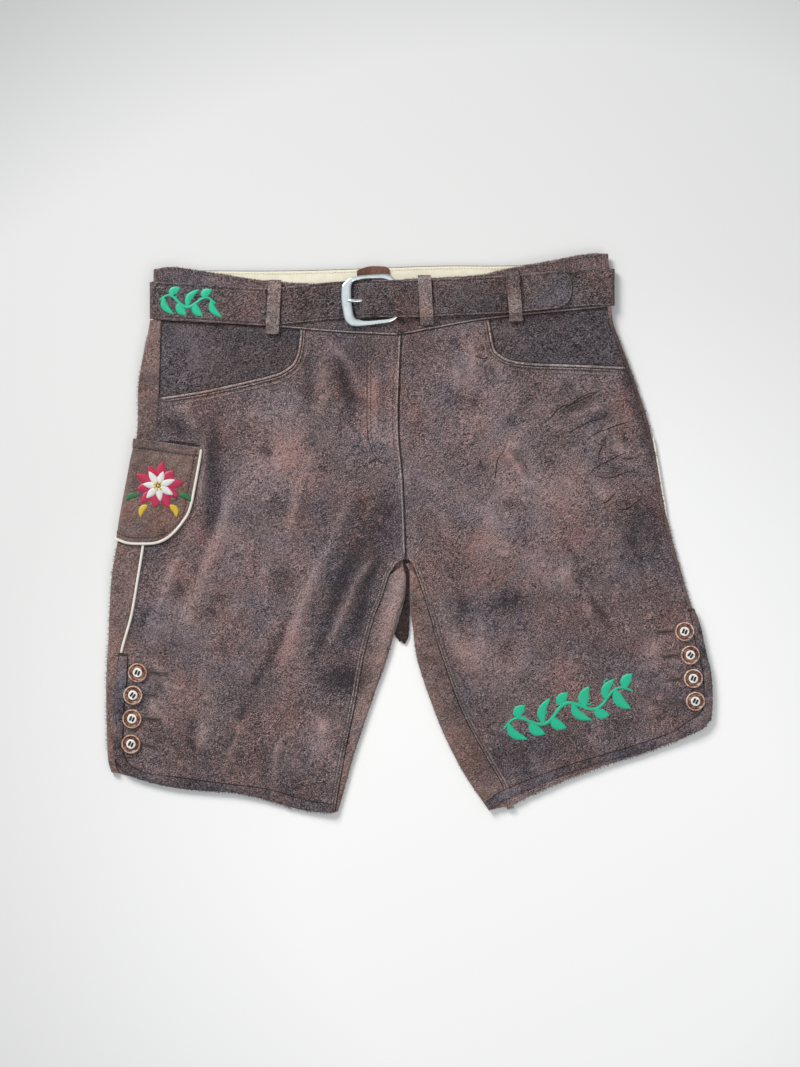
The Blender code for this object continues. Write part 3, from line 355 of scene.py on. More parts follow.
class Leg:
    """Edges of one leg as functions of the row fraction v, 0 at the waist seam and 1 at the hem."""

    def __init__(self, **edges):
        vars(self).update(edges)

    def outer_y(self, v):
        return mix(*self.outer_span, v)

    def inner_y(self, v):
        return mix(*self.inner_span, v)

    def side_x(self, y):
        if self.side < 0:
            return curve(SEAM_RIGHT, y)
        return curve(self.outer, y) - SEAM_INSET

    def inner_x(self, y):
        """Fly edge above the crotch and inseam below it."""
        y = np.asarray(y, float)
        seam, fold = curve(self.inseam, y), curve(self.fold, y)
        further = np.minimum if self.side < 0 else np.maximum
        low = np.where(y > CROTCH - 18, seam, further(seam, fold + self.side * INSEAM_INSET))
        return np.where(y >= CROTCH, curve(FLY, y), low)

    def bow(self, x, v):
        """How far the hem's curve moves a point."""
        return curve(self.hem, x) * ease((v - 0.86) / 0.14)

    def fold_radius(self, y, inner=False):
        """Radius of the leather's outer face round the outer or the inner fold."""
        x = curve(self.fold if inner else self.outer, y)
        inward = self.side if inner else -self.side
        return (top(x + inward * 3, y) - under(x, y)) / 2

    def scoop_path(self):
        """Edge of the hip pocket, up to the waist seam."""
        last_x = self.scoop[-1][0]
        return smooth_path(self.scoop[:-1] + [(last_x, curve(self.seam_front, last_x) - SEAM)])

    def inseam_path(self, highest):
        return smooth_path([(x, y) for y, x in self.inseam if y < highest], 5)


RIGHT = Leg(side=-1, label="right", outer=OUTER_RIGHT, fold=FOLD_RIGHT, inseam=INSEAM_RIGHT, hem=HEM_RIGHT,
            seam_front=WAIST_SEAM_RIGHT, rim=WAIST_TOP_RIGHT, scoop=SCOOP_RIGHT,
            outer_span=(212.6, -239.5), inner_span=(196.4, -279))
LEFT = Leg(side=1, label="left", outer=OUTER_LEFT, fold=FOLD_LEFT, inseam=INSEAM_LEFT, hem=HEM_LEFT,
           seam_front=WAIST_SEAM_LEFT, rim=WAIST_TOP_LEFT, scoop=SCOOP_LEFT,
           outer_span=(225, -190), inner_span=(196.4, -277))
LEGS = (RIGHT, LEFT)


def around(leg, u, y, out, inner=False):
    """Point beside a fold: u runs round it, positive on the front; out is the distance outward."""
    u, y = np.broadcast_arrays(np.asarray(u, float), np.asarray(y, float))
    fold_x = curve(leg.fold if inner else leg.outer, y)
    inward = leg.side if inner else -leg.side
    low = under(fold_x, y)
    radius = leg.fold_radius(y, inner)
    centre = fold_x + inward * radius
    quarter = radius * math.pi / 2
    a = np.clip(u / radius, -math.pi / 2, math.pi / 2)
    reach = radius + out
    bent = abs(u) <= quarter
    x = np.where(bent, centre - inward * reach * np.cos(a), centre + inward * (abs(u) - quarter))
    flat = np.where(u > 0, front_z(x, y, False) + out, under(x, y) - out)
    z = np.where(bent, low + radius + reach * np.sin(a), flat)
    return x, y, np.maximum(z, 0)


# ---------------------------------------------------------------- meshes

def finish_piece(obj, slot, *nodes):
    """Hangs a piece on the garment's one body and hides the solids that it replaces; slot is not used."""
    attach(obj, "root")
    if nodes:
        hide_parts(*nodes)
    return obj


def make_mesh(name, points, faces, material):
    mesh = bpy.data.meshes.new(name)
    mesh.from_pydata((np.asarray(points) * MM).tolist(), [], [tuple(f) for f in faces])
    mesh.shade_smooth()
    mesh.materials.append(material)
    obj = bpy.data.objects.new(name, mesh)
    bpy.context.scene.collection.objects.link(obj)
    return obj


def grid_faces(rows, columns, flip=False, wrap=False, first=0):
    i, j = np.meshgrid(np.arange(rows - 1), np.arange(columns if wrap else columns - 1), indexing="ij")
    a = (i * columns + j).ravel()
    b = (i * columns + (j + 1) % columns).ravel()
    faces = np.stack([a, a + columns, b + columns, b], -1) + first
    return faces[:, ::-1] if flip else faces


def soften(obj, width, degrees):
    """Rounds the rims of a piece."""
    edge = obj.modifiers.new("rim", "BEVEL")
    edge.width = width * MM
    edge.segments = 2
    edge.limit_method = "ANGLE"
    edge.angle_limit = math.radians(degrees)


def shell(name, x, y, z, thick, material, flip=False, rim=0.45):
    """Wall of leather whose outer surface is a grid of points, with softened rims."""
    points = stack(x, y, z)
    rows, columns = points.shape[:2]
    obj = make_mesh(name, points.reshape(-1, 3), grid_faces(rows, columns, flip), material)
    solid = obj.modifiers.new("thickness", "SOLIDIFY")
    solid.thickness = thick * MM
    solid.offset = -1
    if rim:
        soften(obj, rim, 50)
    return obj


def cut_piece(node, kind, slot, *grid, **looks):
    """Shell of one cut piece, in place of its solid."""
    return finish_piece(shell(f"{node}_{kind}", *grid, **looks), slot, node)


def paint(obj, tone, heat=None):
    """Stores tone and warmth for each point of the mesh, for its material to read."""
    layers = {"tone": tone} if heat is None else {"tone": tone, "heat": np.clip(heat, -1, 1)}
    for name, values in layers.items():
        layer = obj.data.attributes.new(name, "FLOAT", "POINT")
        layer.data.foreach_set("value", np.asarray(values, dtype=np.float32).ravel())


# ---------------------------------------------------------------- materials

class Nodes:
    """Short helper for building the node tree of a material or of the world."""

    def __init__(self, owner):
        owner.use_nodes = True
        self.owner, self.tree = owner, owner.node_tree

    def add(self, kind, inputs=None, **settings):
        node = self.tree.nodes.new(kind)
        for key, setting in settings.items():
            setattr(node, key, setting)
        return self.feed(node, inputs or {})

    def feed(self, node, inputs):
        for key, source in inputs.items():
            self.join(source, node.inputs[key])
        return node

    def join(self, source, socket):
        if isinstance(source, bpy.types.NodeSocket):
            self.tree.links.new(source, socket)
        else:
            socket.default_value = source

    def noise(self, vector, scale, detail=2.0, rough=0.5, distort=0.0, output="Fac"):
        made = self.add("ShaderNodeTexNoise", {"Vector": vector, "Scale": scale, "Detail": detail,
                                              "Roughness": rough, "Distortion": distort})
        return made.outputs[output]

    def maths(self, operation, a, b=0.0, c=0.0, clamp=False):
        made = self.add("ShaderNodeMath", {0: a, 1: b, 2: c}, operation=operation, use_clamp=clamp)
        return made.outputs[0]

    def vector(self, operation, a, b=(0, 0, 0), output=0):
        return self.add("ShaderNodeVectorMath", {0: a, 1: b}, operation=operation).outputs[output]

    def mapping(self, vector, **inputs):
        return self.add("ShaderNodeMapping", {"Vector": vector, **inputs}).outputs[0]

    def given(self, name):
        """Value that paint() stored in the mesh."""
        return self.add("ShaderNodeAttribute", attribute_name=name).outputs["Fac"]

    def spread(self, source, low, high, to_low=0.0, to_high=1.0):
        made = self.add("ShaderNodeMapRange", {"Value": source, "From Min": low, "From Max": high,
                                               "To Min": to_low, "To Max": to_high})
        return made.outputs[0]

    def ramp(self, source, stops):
        made = self.add("ShaderNodeValToRGB", {"Fac": source})
        elements = made.color_ramp.elements
        while len(elements) < len(stops):
            elements.new(0.5)
        for element, (place, colour) in zip(elements, stops):
            element.position = place
            element.color = (*colour, 1)
        return made.outputs["Color"]

    def tint(self, amount, colour, by):
        """The colour multiplied by another."""
        made = self.add("ShaderNodeMix", {"Factor": amount}, data_type="RGBA", blend_type="MULTIPLY")
        return self.feed(made, {"A": colour, "B": (*by, 1)}).outputs["Result"]

    def bump(self, height, distance, strength, **normal):
        inputs = {"Height": height, "Strength": strength, "Distance": distance * MM, **normal}
        return self.add("ShaderNodeBump", inputs).outputs["Normal"]

    def place(self, stretch=(1, 1, 1), turn=0.0):
        """Coordinates in millimetres, stretched and turned in the plan."""
        return self.mapping(self.add("ShaderNodeTexCoord").outputs["Object"],
                            Scale=[1 / MM * s for s in stretch], Rotation=(0, 0, math.radians(turn)))

    def done(self, colour, rough, normal=None, **inputs):
        """Sets the material's shader; underscores in the names stand for spaces."""
        inputs = {"Base Color": colour, "Roughness": rough,
                  **{key.replace("_", " "): value for key, value in inputs.items()}}
        if normal is not None:
            inputs["Normal"] = normal
        self.feed(self.tree.nodes["Principled BSDF"], inputs)
        return self.owner


def material(name):
    return Nodes(bpy.data.materials.new(name))


COLD, REDDER, BLUER = (0.88, 0.94, 1.16), (1.12, 0.955, 0.88), (0.87, 0.97, 1.08)
BRUSHED, CROSSED = -38, -12     # directions of the nap in degrees


def suede(name, dark, mid, light, warm, nap=1.0, mottle=1.0, patches=False):
    """Napped leather: mottled dye, brushed tufts of nap, fine cracks and pores."""
    n = material(name)
    flat = n.place()
    swirl = n.noise(flat, 0.035, 2.0, output="Color")
    bent = n.vector("SUBTRACT", swirl, (0.5, 0.5, 0.5))
    bent = n.vector("ADD", flat, n.vector("MULTIPLY", bent, (9.0, 9.0, 0.0)))
    brushed = n.mapping(bent, Rotation=(0, 0, math.radians(BRUSHED)))
    streak = n.mapping(brushed, Scale=(0.34, 1.25, 1.0))
    crossed = n.mapping(bent, Rotation=(0, 0, math.radians(CROSSED)))
    cross = n.mapping(crossed, Scale=(0.36, 1.15, 1.0))
    cloud = n.noise(flat, 0.021, 4.0, 0.55, 0.4)
    patch = n.noise(bent, 0.065, 4.0, 0.62, 0.5)
    tuft = n.noise(streak, 0.30, 3.0, 0.6, 0.5)
    grain = n.noise(streak, 1.50, 2.0, 0.6, 0.2)
    hair = n.noise(cross, 1.90, 1.0, 0.5, 0.15)
    speck = n.noise(flat, 2.1, 1.0, 0.5)
    layers = ((cloud, 0.85 * mottle), (patch, 0.55 * mottle), (tuft, 0.60 * nap), (grain, 2.9 * nap),
              (hair, 2.5 * nap), (speck, 2.1 * nap))
    tone = 0.5
    for layer, amount in layers:
        tone = n.maths("MULTIPLY_ADD", n.maths("SUBTRACT", layer, 0.5), amount, tone)
    crack = n.maths("ABSOLUTE", n.maths("SUBTRACT", n.noise(bent, 0.13, 3.0, 0.55, 0.7), 0.5))
    crack = n.maths("MULTIPLY", n.spread(crack, 0.0, 0.022, 1.0, 0.0),
                    n.spread(n.noise(flat, 0.03), 0.42, 0.62), clamp=True)
    tone = n.maths("MULTIPLY_ADD", crack, -0.45 * nap, tone)
    heat = n.spread(n.noise(flat, 0.022, 3.0, 0.5, 0.3), 0.48, 0.66)
    if patches:
        tone = n.maths("ADD", tone, n.given("tone"))
        heat = n.maths("ADD", n.maths("MULTIPLY", heat, 0.35), n.given("heat"), clamp=True)
    colour = n.ramp(tone, [(0.0, [c * 0.55 for c in dark]), (0.22, dark), (0.5, mid), (0.78, light),
                           (1.0, [min(1, c * 1.6) for c in light])])
    colour = n.tint(n.maths("MULTIPLY", heat, 0.8), colour, warm)
    if patches:
        cold = n.maths("MULTIPLY", n.given("heat"), -1.0, clamp=True)
        colour = n.tint(cold, colour, COLD)
    hue = n.noise(n.mapping(bent, Location=(310, 170, 0)), 0.018, 4.0, 0.55, 0.4)
    for start, end, amount, shift in ((0.51, 0.64, 0.9, REDDER), (0.49, 0.36, 1.0, BLUER)):
        colour = n.tint(n.maths("MULTIPLY", n.spread(hue, start, end), amount * mottle), colour, shift)
    soft = n.bump(crack, 1.2, 0.7)
    soft.node.invert = True
    fibre = n.maths("MULTIPLY_ADD", grain, 1.3, n.maths("ADD", hair, tuft))
    fibre = n.bump(fibre, 0.9 * nap, 0.9, Normal=soft)
    return n.done(colour, 0.94, n.bump(speck, 0.25 * nap, 0.8, Normal=fibre), Specular_IOR_Level=0.2,
                  Sheen_Weight=0.2, Sheen_Roughness=0.5, Sheen_Tint=(0.80, 0.70, 0.66, 1))


SUEDE = suede("suede_front", (0.052, 0.043, 0.054), (0.140, 0.103, 0.107), (0.300, 0.220, 0.215),
              (1.28, 0.90, 0.77), mottle=0.72, patches=True)
SUEDE_BACK = suede("suede_back", (0.085, 0.058, 0.058), (0.182, 0.122, 0.114), (0.320, 0.218, 0.198),
                   (1.12, 0.90, 0.82), nap=0.8, mottle=0.7, patches=True)
FACING_SUEDE = suede("suede_facing", (0.018, 0.016, 0.022), (0.058, 0.049, 0.057), (0.185, 0.150, 0.158),
                     (1.2, 0.88, 0.78), nap=1.25, mottle=0.5, patches=True)
EDGE_SUEDE = suede("suede_edge", (0.150, 0.112, 0.112), (0.320, 0.250, 0.245), (0.520, 0.430, 0.415),
                   (1.08, 0.95, 0.90), nap=0.8, mottle=0.5)
HEM_SUEDE = suede("suede_hem", (0.030, 0.028, 0.037), (0.086, 0.074, 0.086), (0.205, 0.165, 0.172),
                  (1.3, 0.90, 0.78), nap=0.9, mottle=1.3, patches=True)
# Near black suede: painted shade for the cords and strips laid in grooves, seams, cracks and gaps
PAINTED_GROOVE_SHADE = suede("painted_groove_shade", (0.010, 0.007, 0.008), (0.030, 0.020, 0.021), (0.085, 0.060, 0.060),
               (1.1, 0.9, 0.85), nap=0.7)
BELT_SUEDE = suede("belt_suede", (0.024, 0.020, 0.024), (0.078, 0.062, 0.068), (0.215, 0.166, 0.166),
                   (1.2, 0.88, 0.80), nap=1.25, mottle=0.9, patches=True)
LOOP_SUEDE = suede("loop_suede", (0.066, 0.053, 0.055), (0.165, 0.129, 0.126), (0.32, 0.255, 0.245),
                   (1.12, 0.92, 0.84), nap=0.8, mottle=0.8, patches=True)
POCKET_SUEDE = suede("suede_pocket", (0.075, 0.050, 0.046), (0.172, 0.118, 0.106), (0.290, 0.205, 0.185),
                     (1.15, 0.92, 0.84), nap=0.5, mottle=0.8)
# Suede of the crotch tab, painted near black as the shade between the legs
TAB_SUEDE_SHADED = suede("suede_tab_painted_shade", (0.010, 0.007, 0.007), (0.028, 0.018, 0.018), (0.065, 0.044, 0.042),
                  (1.15, 0.9, 0.84), mottle=0.7)
BROWN_SUEDE = suede("hanger_brown", (0.075, 0.036, 0.026), (0.150, 0.078, 0.056), (0.230, 0.130, 0.10),
                    (1.1, 0.9, 0.85), nap=0.4)
BELT_EDGE = suede("belt_edge", (0.075, 0.060, 0.063), (0.170, 0.136, 0.138), (0.310, 0.255, 0.255),
                  (1.1, 0.94, 0.88), nap=0.8, mottle=0.7)
RIDGE_SUEDE = suede("suede_ridge", (0.080, 0.063, 0.066), (0.215, 0.165, 0.162), (0.400, 0.315, 0.300),
                    (1.12, 0.93, 0.86), nap=0.8, mottle=0.6)


def cloth(name, colour, shade, scale=1.6):
    """Fine twill or cord."""
    n = material(name)
    weave = n.add("ShaderNodeTexWave", {"Vector": n.place(turn=55), "Scale": scale, "Distortion": 0.6,
                                        "Detail": 1.0}).outputs["Fac"]
    soil = n.noise(n.place(), 0.12, 4.0, 0.6)
    tone = n.maths("MULTIPLY_ADD", weave, 0.30, n.maths("MULTIPLY", soil, 0.9), clamp=True)
    return n.done(n.ramp(tone, [(0.1, shade), (0.8, colour)]), 0.85, n.bump(weave, 0.12, 0.6),
                  Specular_IOR_Level=0.25, Sheen_Weight=0.15)


LINING_CLOTH = cloth("cream_lining", (0.90, 0.86, 0.70), (0.74, 0.68, 0.52))
PIPING_CLOTH = cloth("cream_piping", (0.88, 0.84, 0.76), (0.68, 0.61, 0.54), 2.2)


def thread(name, colour, shade=0.6, gloss=0.55, sheen=0.2):
    n = material(name)
    flat = n.place()
    ply = n.noise(flat, 1.4, 2.0, 0.6)
    return n.done(n.ramp(ply, [(0.3, [c * shade for c in colour]), (0.7, colour)]), gloss,
                  n.bump(n.noise(flat, 3.0), 0.08, 0.5), Sheen_Weight=sheen)


THREAD_DARK = thread("thread_dark", (0.028, 0.020, 0.020), 0.6)
THREAD_BLACK = thread("thread_black", (0.008, 0.006, 0.006), 0.6, 0.6, 0.0)
THREAD_CREAM = thread("thread_cream", (0.60, 0.53, 0.40), 0.7)
THREAD_GREEN = thread("thread_green", (0.0, 0.56, 0.31), 0.6, 0.42)
THREAD_LEAF = thread("thread_leaf", (0.02, 0.16, 0.05), 0.6, 0.45)
THREAD_RED = thread("thread_red", (0.52, 0.012, 0.075), 0.65, 0.42)
THREAD_WHITE = thread("thread_white", (0.78, 0.77, 0.74), 0.75, 0.45)
THREAD_YELLOW = thread("thread_yellow", (0.72, 0.50, 0.03), 0.65, 0.42)
THREAD_BROWN = thread("thread_brown", (0.14, 0.085, 0.07), 0.5)
THREAD_SEAM = thread("thread_seam", (0.055, 0.032, 0.028), 0.5)
THREAD_NAP = thread("thread_nap", (0.17, 0.13, 0.13), 0.5, 0.9)


def nickel():
    n = material("satin_nickel")
    brush = n.noise(n.place((1, 0.12, 1)), 1.2, 4.0, 0.7)
    smear = n.noise(n.place(), 0.12, 3.0)
    return n.done(n.ramp(smear, [(0.3, (0.72, 0.79, 0.81)), (0.7, (0.86, 0.93, 0.95))]),
                  n.spread(brush, 0.3, 0.7, 0.17, 0.27), n.bump(brush, 0.05, 0.35), Metallic=1.0)


def horn(name, dark, mid, light, gloss=0.18):
    n = material(name)
    flat = n.place()
    vein = n.noise(flat, 0.28, 5.0, 0.65, 1.2)
    fleck = n.noise(flat, 1.5, 3.0, 0.6)
    tone = n.maths("MULTIPLY_ADD", fleck, 0.25, n.maths("MULTIPLY", vein, 0.85))
    return n.done(n.ramp(tone, [(0.35, dark), (0.55, mid), (0.75, light)]), gloss, n.bump(vein, 0.12, 0.4))


NICKEL = nickel()
HORN = horn("horn", (0.026, 0.008, 0.006), (0.105, 0.032, 0.018), (0.60, 0.34, 0.22))
# Pale horn of the buttons' rims: a painted highlight
HORN_RIM_HIGHLIGHT = horn("horn_rim_painted_highlight", (0.16, 0.06, 0.035), (0.50, 0.30, 0.21), (0.92, 0.86, 0.80))
HORN_CORE = horn("horn_core", (0.66, 0.63, 0.58), (0.84, 0.82, 0.78), (0.90, 0.89, 0.86), 0.4)

# Dye patches of the front: x, y, half length, half width, turn, change of tone, change of warmth
PATCHES = [
    (-40, 4, 36, 32, 70, -0.19, -0.35), (-58, -72, 78, 27, 76, -0.17, -0.35),
    (-60, -146, 22, 15, 0, -0.34, -0.3), (-127, 92, 46, 27, 80, 0.17, 0.45),
    (-140, 56, 32, 20, 10, 0.13, 0.4), (-33, 97, 26, 26, 0, 0.14, 0.35),
    (-104, 22, 34, 15, 5, -0.13, -0.2), (-62, 128, 18, 34, 0, -0.10, -0.1),
    (-56, 170, 44, 26, 0, -0.15, -0.1), (-195, 66, 15, 44, 0, -0.12, -0.2),
    (-170, -20, 50, 30, 30, 0.04, 0.3), (-130, -74, 50, 26, -60, 0.07, 0.3),
    (-239, -88, 34, 20, 0, 0.13, 0.45), (-208, -164, 28, 26, 0, 0.11, 0.35),
    (-92, -204, 20, 28, 0, 0.12, 0.35), (-150, -150, 20, 44, -14, -0.09, -0.1),
    (-130, -250, 50, 22, -10, -0.12, 0.0), (-262, 20, 22, 50, 0, -0.08, 0.0),
    (-220, 110, 40, 24, 10, -0.10, -0.1), (-225, -225, 40, 22, 0, -0.08, 0.0),
    (-8, 186, 26, 20, 0, -0.06, 0.0), (66, 166, 34, 32, 0, 0.13, 0.35), (92, 106, 46, 32, 0, 0.09, 0.3),
    (122, 42, 66, 30, 8, 0.19, 0.6), (90, -8, 28, 24, 0, 0.13, 0.45), (146, -42, 30, 13, -32, 0.13, 0.3),
    (24, 60, 24, 50, 0, 0.05, 0.1), (98, -71, 36, 13, 5, -0.16, -0.2), (236, 12, 28, 28, 0, -0.24, -0.2),
    (258, -44, 22, 30, 0, -0.12, -0.2), (180, 150, 60, 40, -10, 0.05, -0.3),
    (205, 84, 34, 40, 0, 0.04, -0.3), (120, 190, 60, 26, 0, -0.10, -0.2),
    (42, -116, 15, 56, 20, 0.12, 0.45), (96, -128, 30, 22, 0, 0.07, 0.3),
    (190, -84, 60, 26, 12, -0.05, -0.1), (104, -222, 60, 20, 20, -0.13, -0.1),
    (250, -128, 30, 30, 0, 0.07, 0.3), (272, -176, 26, 30, 0, -0.14, -0.1),
    (180, -190, 60, 24, 18, -0.08, 0.0), (14, 208, 30, 9, 12, -0.05, 0.9),
    (30, -24, 20, 34, 0, -0.05, -0.1), (-16, -66, 56, 9, 76, 0.30, 0.0),
    (-40, -160, 90, 10, 73, 0.16, 0.1), (30, -132, 90, 9, -68, -0.11, 0.2),
    (221, 150, 64, 8, -72, -0.36, -0.4), (-62, -146, 18, 14, 0, -0.08, -0.2),
    (178, 238, 34, 12, -12, 0.45, 0.4), (-222, 207, 26, 10, 0, 0.20, 0.3),
    (158, 108, 36, 26, 20, -0.07, -0.1)]
# The same for the hip facings
FACING_PATCHES = [
    (-225, 203, 22, 12, 0, 0.12, 0.35), (-230, 172, 30, 34, 0, 0.0, 0.38),
    (-208, 168, 18, 16, 0, 0.13, 0.30), (-182, 178, 26, 14, 20, -0.07, -0.30),
    (-124, 192, 26, 16, 0, -0.10, -0.30), (98, 202, 24, 20, 0, 0.05, 0.20),
    (155, 212, 40, 14, 0, -0.06, -0.15), (190, 192, 20, 18, 0, 0.02, -0.15)]


# Crests of the creases are rubbed paler by wear, and their troughs are painted darker as shade
CREASE_WEAR_AND_SHADE, CREST_LIMIT = 0.12, 2.6
TONE_STRENGTH, HEAT_STRENGTH = 1.4, 2.0


def dye(x, y, rows=PATCHES):
    """Tone and warmth of the leather at points of the plan."""
    tone = hills(x, y, [row[:6] for row in rows])
    heat = hills(x, y, [row[:5] + row[6:] for row in rows])
    return TONE_STRENGTH * tone, HEAT_STRENGTH * heat


def colour_points(obj, x, y, lighten=0.0):
    """Dye, wear and painted shade at each point: wear rubs the crests pale, and the troughs are painted
    darker as shade.
    """
    tone, heat = dye(x, y)
    crest = np.clip(creases(x, y, CREASES), -CREST_LIMIT, CREST_LIMIT)
    paint(obj, tone + CREASE_WEAR_AND_SHADE * crest + lighten, heat)


# ---------------------------------------------------------------- leg panels

def packed(count, ends):
    """Fractions from 0 to 1 that crowd towards both ends."""
    t = np.linspace(0, 1, count)
    return mix(t, 0.5 - 0.5 * np.cos(math.pi * t), ends)


def grid_of(columns):
    """x, y and z grids from a list of columns, each an (x, y, z) of arrays."""
    return np.array(columns).transpose(1, 2, 0)


def front_panel(leg):
    """Patch between the side seam, the hip pocket's edge and waist seam, the fly, inseam and hem."""
    inward = -leg.side
    scoop = leg.scoop_path()
    centre = float(curve(FLY, 196)) + SEAM * 0.5 * leg.side
    waist_x = np.linspace(scoop[-1][0], centre, 37)[1:]
    upper = np.vstack([along(scoop, packed(76, 0.25)), along_x(leg.seam_front, waist_x, -SEAM)])
    v = packed(190, 0.2)[:, None]
    first, last = upper[0], upper[-1]
    match = 0.31        # where the side's heights join the leg's own rows
    side_y = np.where(v < match, mix(first[1], leg.outer_y(match), v / match), leg.outer_y(v))
    inner_y = mix(last[1], leg.inner_y(1), v)
    side_x = leg.side_x(side_y) + SEAM * inward
    inner_x = leg.inner_x(inner_y) - SEAM * inward
    s = np.linspace(0, 1, len(upper))[None, :]
    s = mix(s, ease(s), 0.3)
    fade = 1 - ease(v / 0.55)
    x = mix(side_x, inner_x, s) + (upper[None, :, 0] - mix(first[0], last[0], s)) * fade
    y = mix(side_y, inner_y, s) + (upper[None, :, 1] - mix(first[1], last[1], s)) * fade
    y = y + leg.bow(x, v) + ragged_hem(x, y, v, 5.0)
    z = front_z(x, y) + (hem_roll(v) + edge_rolls(leg, x, y))
    obj = cut_piece(f"front_{leg.label}", "suede", "suede_front", x, y, z, WALL, SUEDE, flip=leg.side > 0)
    colour_points(obj, x, y, 0.10 * bell(1 - v, 0.006))


def ragged_hem(x, y, v, seed):
    return 0.7 * ripple(x[-1:], y[-1:], 2.2, seed) * ease((v - 0.975) / 0.025)


def hem_roll(v):
    """The turned hem is thicker, with a shallow channel along its stitch."""
    depth = (1 - v) * 470
    return 0.7 * ease((11.5 - depth) / 3) - 0.45 * bell(depth - 8.5, 1.3)


def edge_rolls(leg, x, y):
    """Raised lips along the pocket edge and the fly, which lie over their neighbours."""
    scoop = leg.scoop_path()[::3]
    distance = np.full(x.shape, 99.0)
    for a, b in zip(scoop[:-1], scoop[1:]):
        d = b - a
        t = np.clip(((x - a[0]) * d[0] + (y - a[1]) * d[1]) / (d @ d), 0, 1)
        distance = np.minimum(distance, np.hypot(x - a[0] - t * d[0], y - a[1] - t * d[1]))
    lip = 0.55 * bell(distance, 3.2) - 0.35 * bell(distance - 5.2, 1.0)
    gap = (x - curve(FLY, y)) * leg.side
    if leg.side < 0:
        return lip + (y > CROTCH + 6) * (0.8 * bell(gap, 4.5) - 0.3 * bell(gap - 6, 1.2))
    return lip - (y > CROTCH) * 0.5 * bell(gap, 3.0)


def back_panel(leg):
    """Ring from the side seam round the outer fold, under the leg and round the inner fold."""
    centre = CENTRE_BACK + leg.side * SEAM
    v = np.unique(np.concatenate([packed(150, 0.2), [0.465, 0.4665, 0.507]]))
    outer_y, inner_y = leg.outer_y(v), leg.inner_y(v)
    upper = 1 - ease(v / 0.3)
    seam_centre = float(curve(WAIST_SEAM_BACK, centre))
    inner_y = inner_y + (seam_centre - leg.inner_y(0)) * upper
    head = (float(curve(leg.outer, leg.outer_y(0))), leg.outer_y(0))
    radius = leg.fold_radius(outer_y)
    quarter = radius * math.pi / 2
    strip = np.maximum(abs(leg.side_x(outer_y) - curve(leg.outer, outer_y)) - radius, 0.5)
    if leg.side < 0:
        strip = np.where(outer_y < -225, np.minimum(strip, 4.0), strip)
    strip_n, arc_n, tail_n = 4, 12, 8
    columns = [around(leg, quarter + strip * (1 - k / strip_n), outer_y, 0) for k in range(strip_n)]
    columns += [around(leg, quarter * (1 - 2 * k / arc_n), outer_y, 0) for k in range(arc_n + 1)]
    start = columns[-1]
    inner_radius = leg.fold_radius(inner_y, True)
    inner_quarter = inner_radius * math.pi / 2
    inner_strip = abs(leg.inner_x(inner_y) - curve(leg.fold, inner_y)) - inner_radius
    curl = ease((CROTCH - 1 - inner_y) / 18)
    tail = []
    for k in range(arc_n + tail_n + 1):
        if k <= arc_n:
            u = -inner_quarter * (1 - 2 * k / arc_n)
        else:
            u = inner_quarter + inner_strip * (k - arc_n) / tail_n
        wrapped = around(leg, u, inner_y, 0, True)
        x = centre + leg.side * (arc_n + tail_n - k) * 0.35
        flat = (x + 0 * inner_y, inner_y, under(x, inner_y))
        tail.append(tuple(mix(a, b, curl) for a, b in zip(flat, wrapped)))
    end = tail[0]
    for s in packed(64, 0.3)[1:-1]:
        x, y = mix(start[0], end[0], s), mix(start[1], end[1], s)
        y = y + (curve(WAIST_SEAM_BACK, mix(head[0], centre, s)) - mix(head[1], seam_centre, s)) * upper
        z = under(x, y) + creases(x, y, BACK_CREASES) * ease(s / 0.12) * ease((1 - s) / 0.12)
        columns.append((x, y, np.maximum(z, under(x, y))))
    x, y, z = grid_of(columns + tail)
    v = v[:, None]
    y = y + leg.bow(x, v)
    y = y + ragged_hem(x, y, v, 9.0)
    obj = cut_piece(f"back_{leg.label}", "suede", "suede_back", x, y, z, WALL, SUEDE_BACK, flip=leg.side < 0)
    colour_points(obj, x, y)


FACING_DIP = 1.5        # deepest trough, so that the facing stays above the back panel


def facing(leg):
    """Darker leather in the scoop of a hip pocket; it runs on under the front panel's edge."""
    scoop = along(leg.scoop_path()[:-6], packed(70, 0.2))
    shift = FACING_UNDER / math.sqrt(2)
    lower = scoop + np.array([-leg.side * shift, -shift])
    side_x = float(leg.side_x(leg.outer_span[0])) - leg.side * SEAM
    s = np.linspace(0, 1, len(lower))[None, :]
    t = np.linspace(0, 1, 40)[:, None]
    x_high = mix(side_x, lower[-1][0], s)
    y_high = curve(leg.seam_front, x_high) - SEAM
    x, y = mix(lower[None, :, 0], x_high, t), mix(lower[None, :, 1], y_high, t)
    edge = leg.side_x(y) - leg.side * SEAM
    x = np.where(s < 0.2, mix(edge, x, s / 0.2), x)
    folds = creases(x, y, FACING_CREASES) * ease(t * 3) * 0.8
    folds = np.maximum(folds, -FACING_DIP * np.tanh(-folds / FACING_DIP))
    z = top(x, y) - FACING_DROP + folds + 0.3 * ripple(x, y, 14, 4.4)
    obj = cut_piece(f"pocket_facing_{leg.label}", "suede", "suede_facing", x, y, z, FACING_WALL, FACING_SUEDE,
                    flip=leg.side < 0)
    paint(obj, *dye(x, y, FACING_PATCHES))


# ---------------------------------------------------------------- waistband and lining

def flat_band(x_range, low, high, level, columns=170, rows=26, wave=0.25):
    x = np.linspace(*x_range, columns)[None, :]
    t = packed(rows, 0.4)[:, None]
    y = mix(low(x), high(x), t)
    x = x + 0 * t
    return x, y, level + wave * ripple(x, y, 18, 6.0) * ease(t * 4) + 0.25 * bell(1 - t, 0.05)


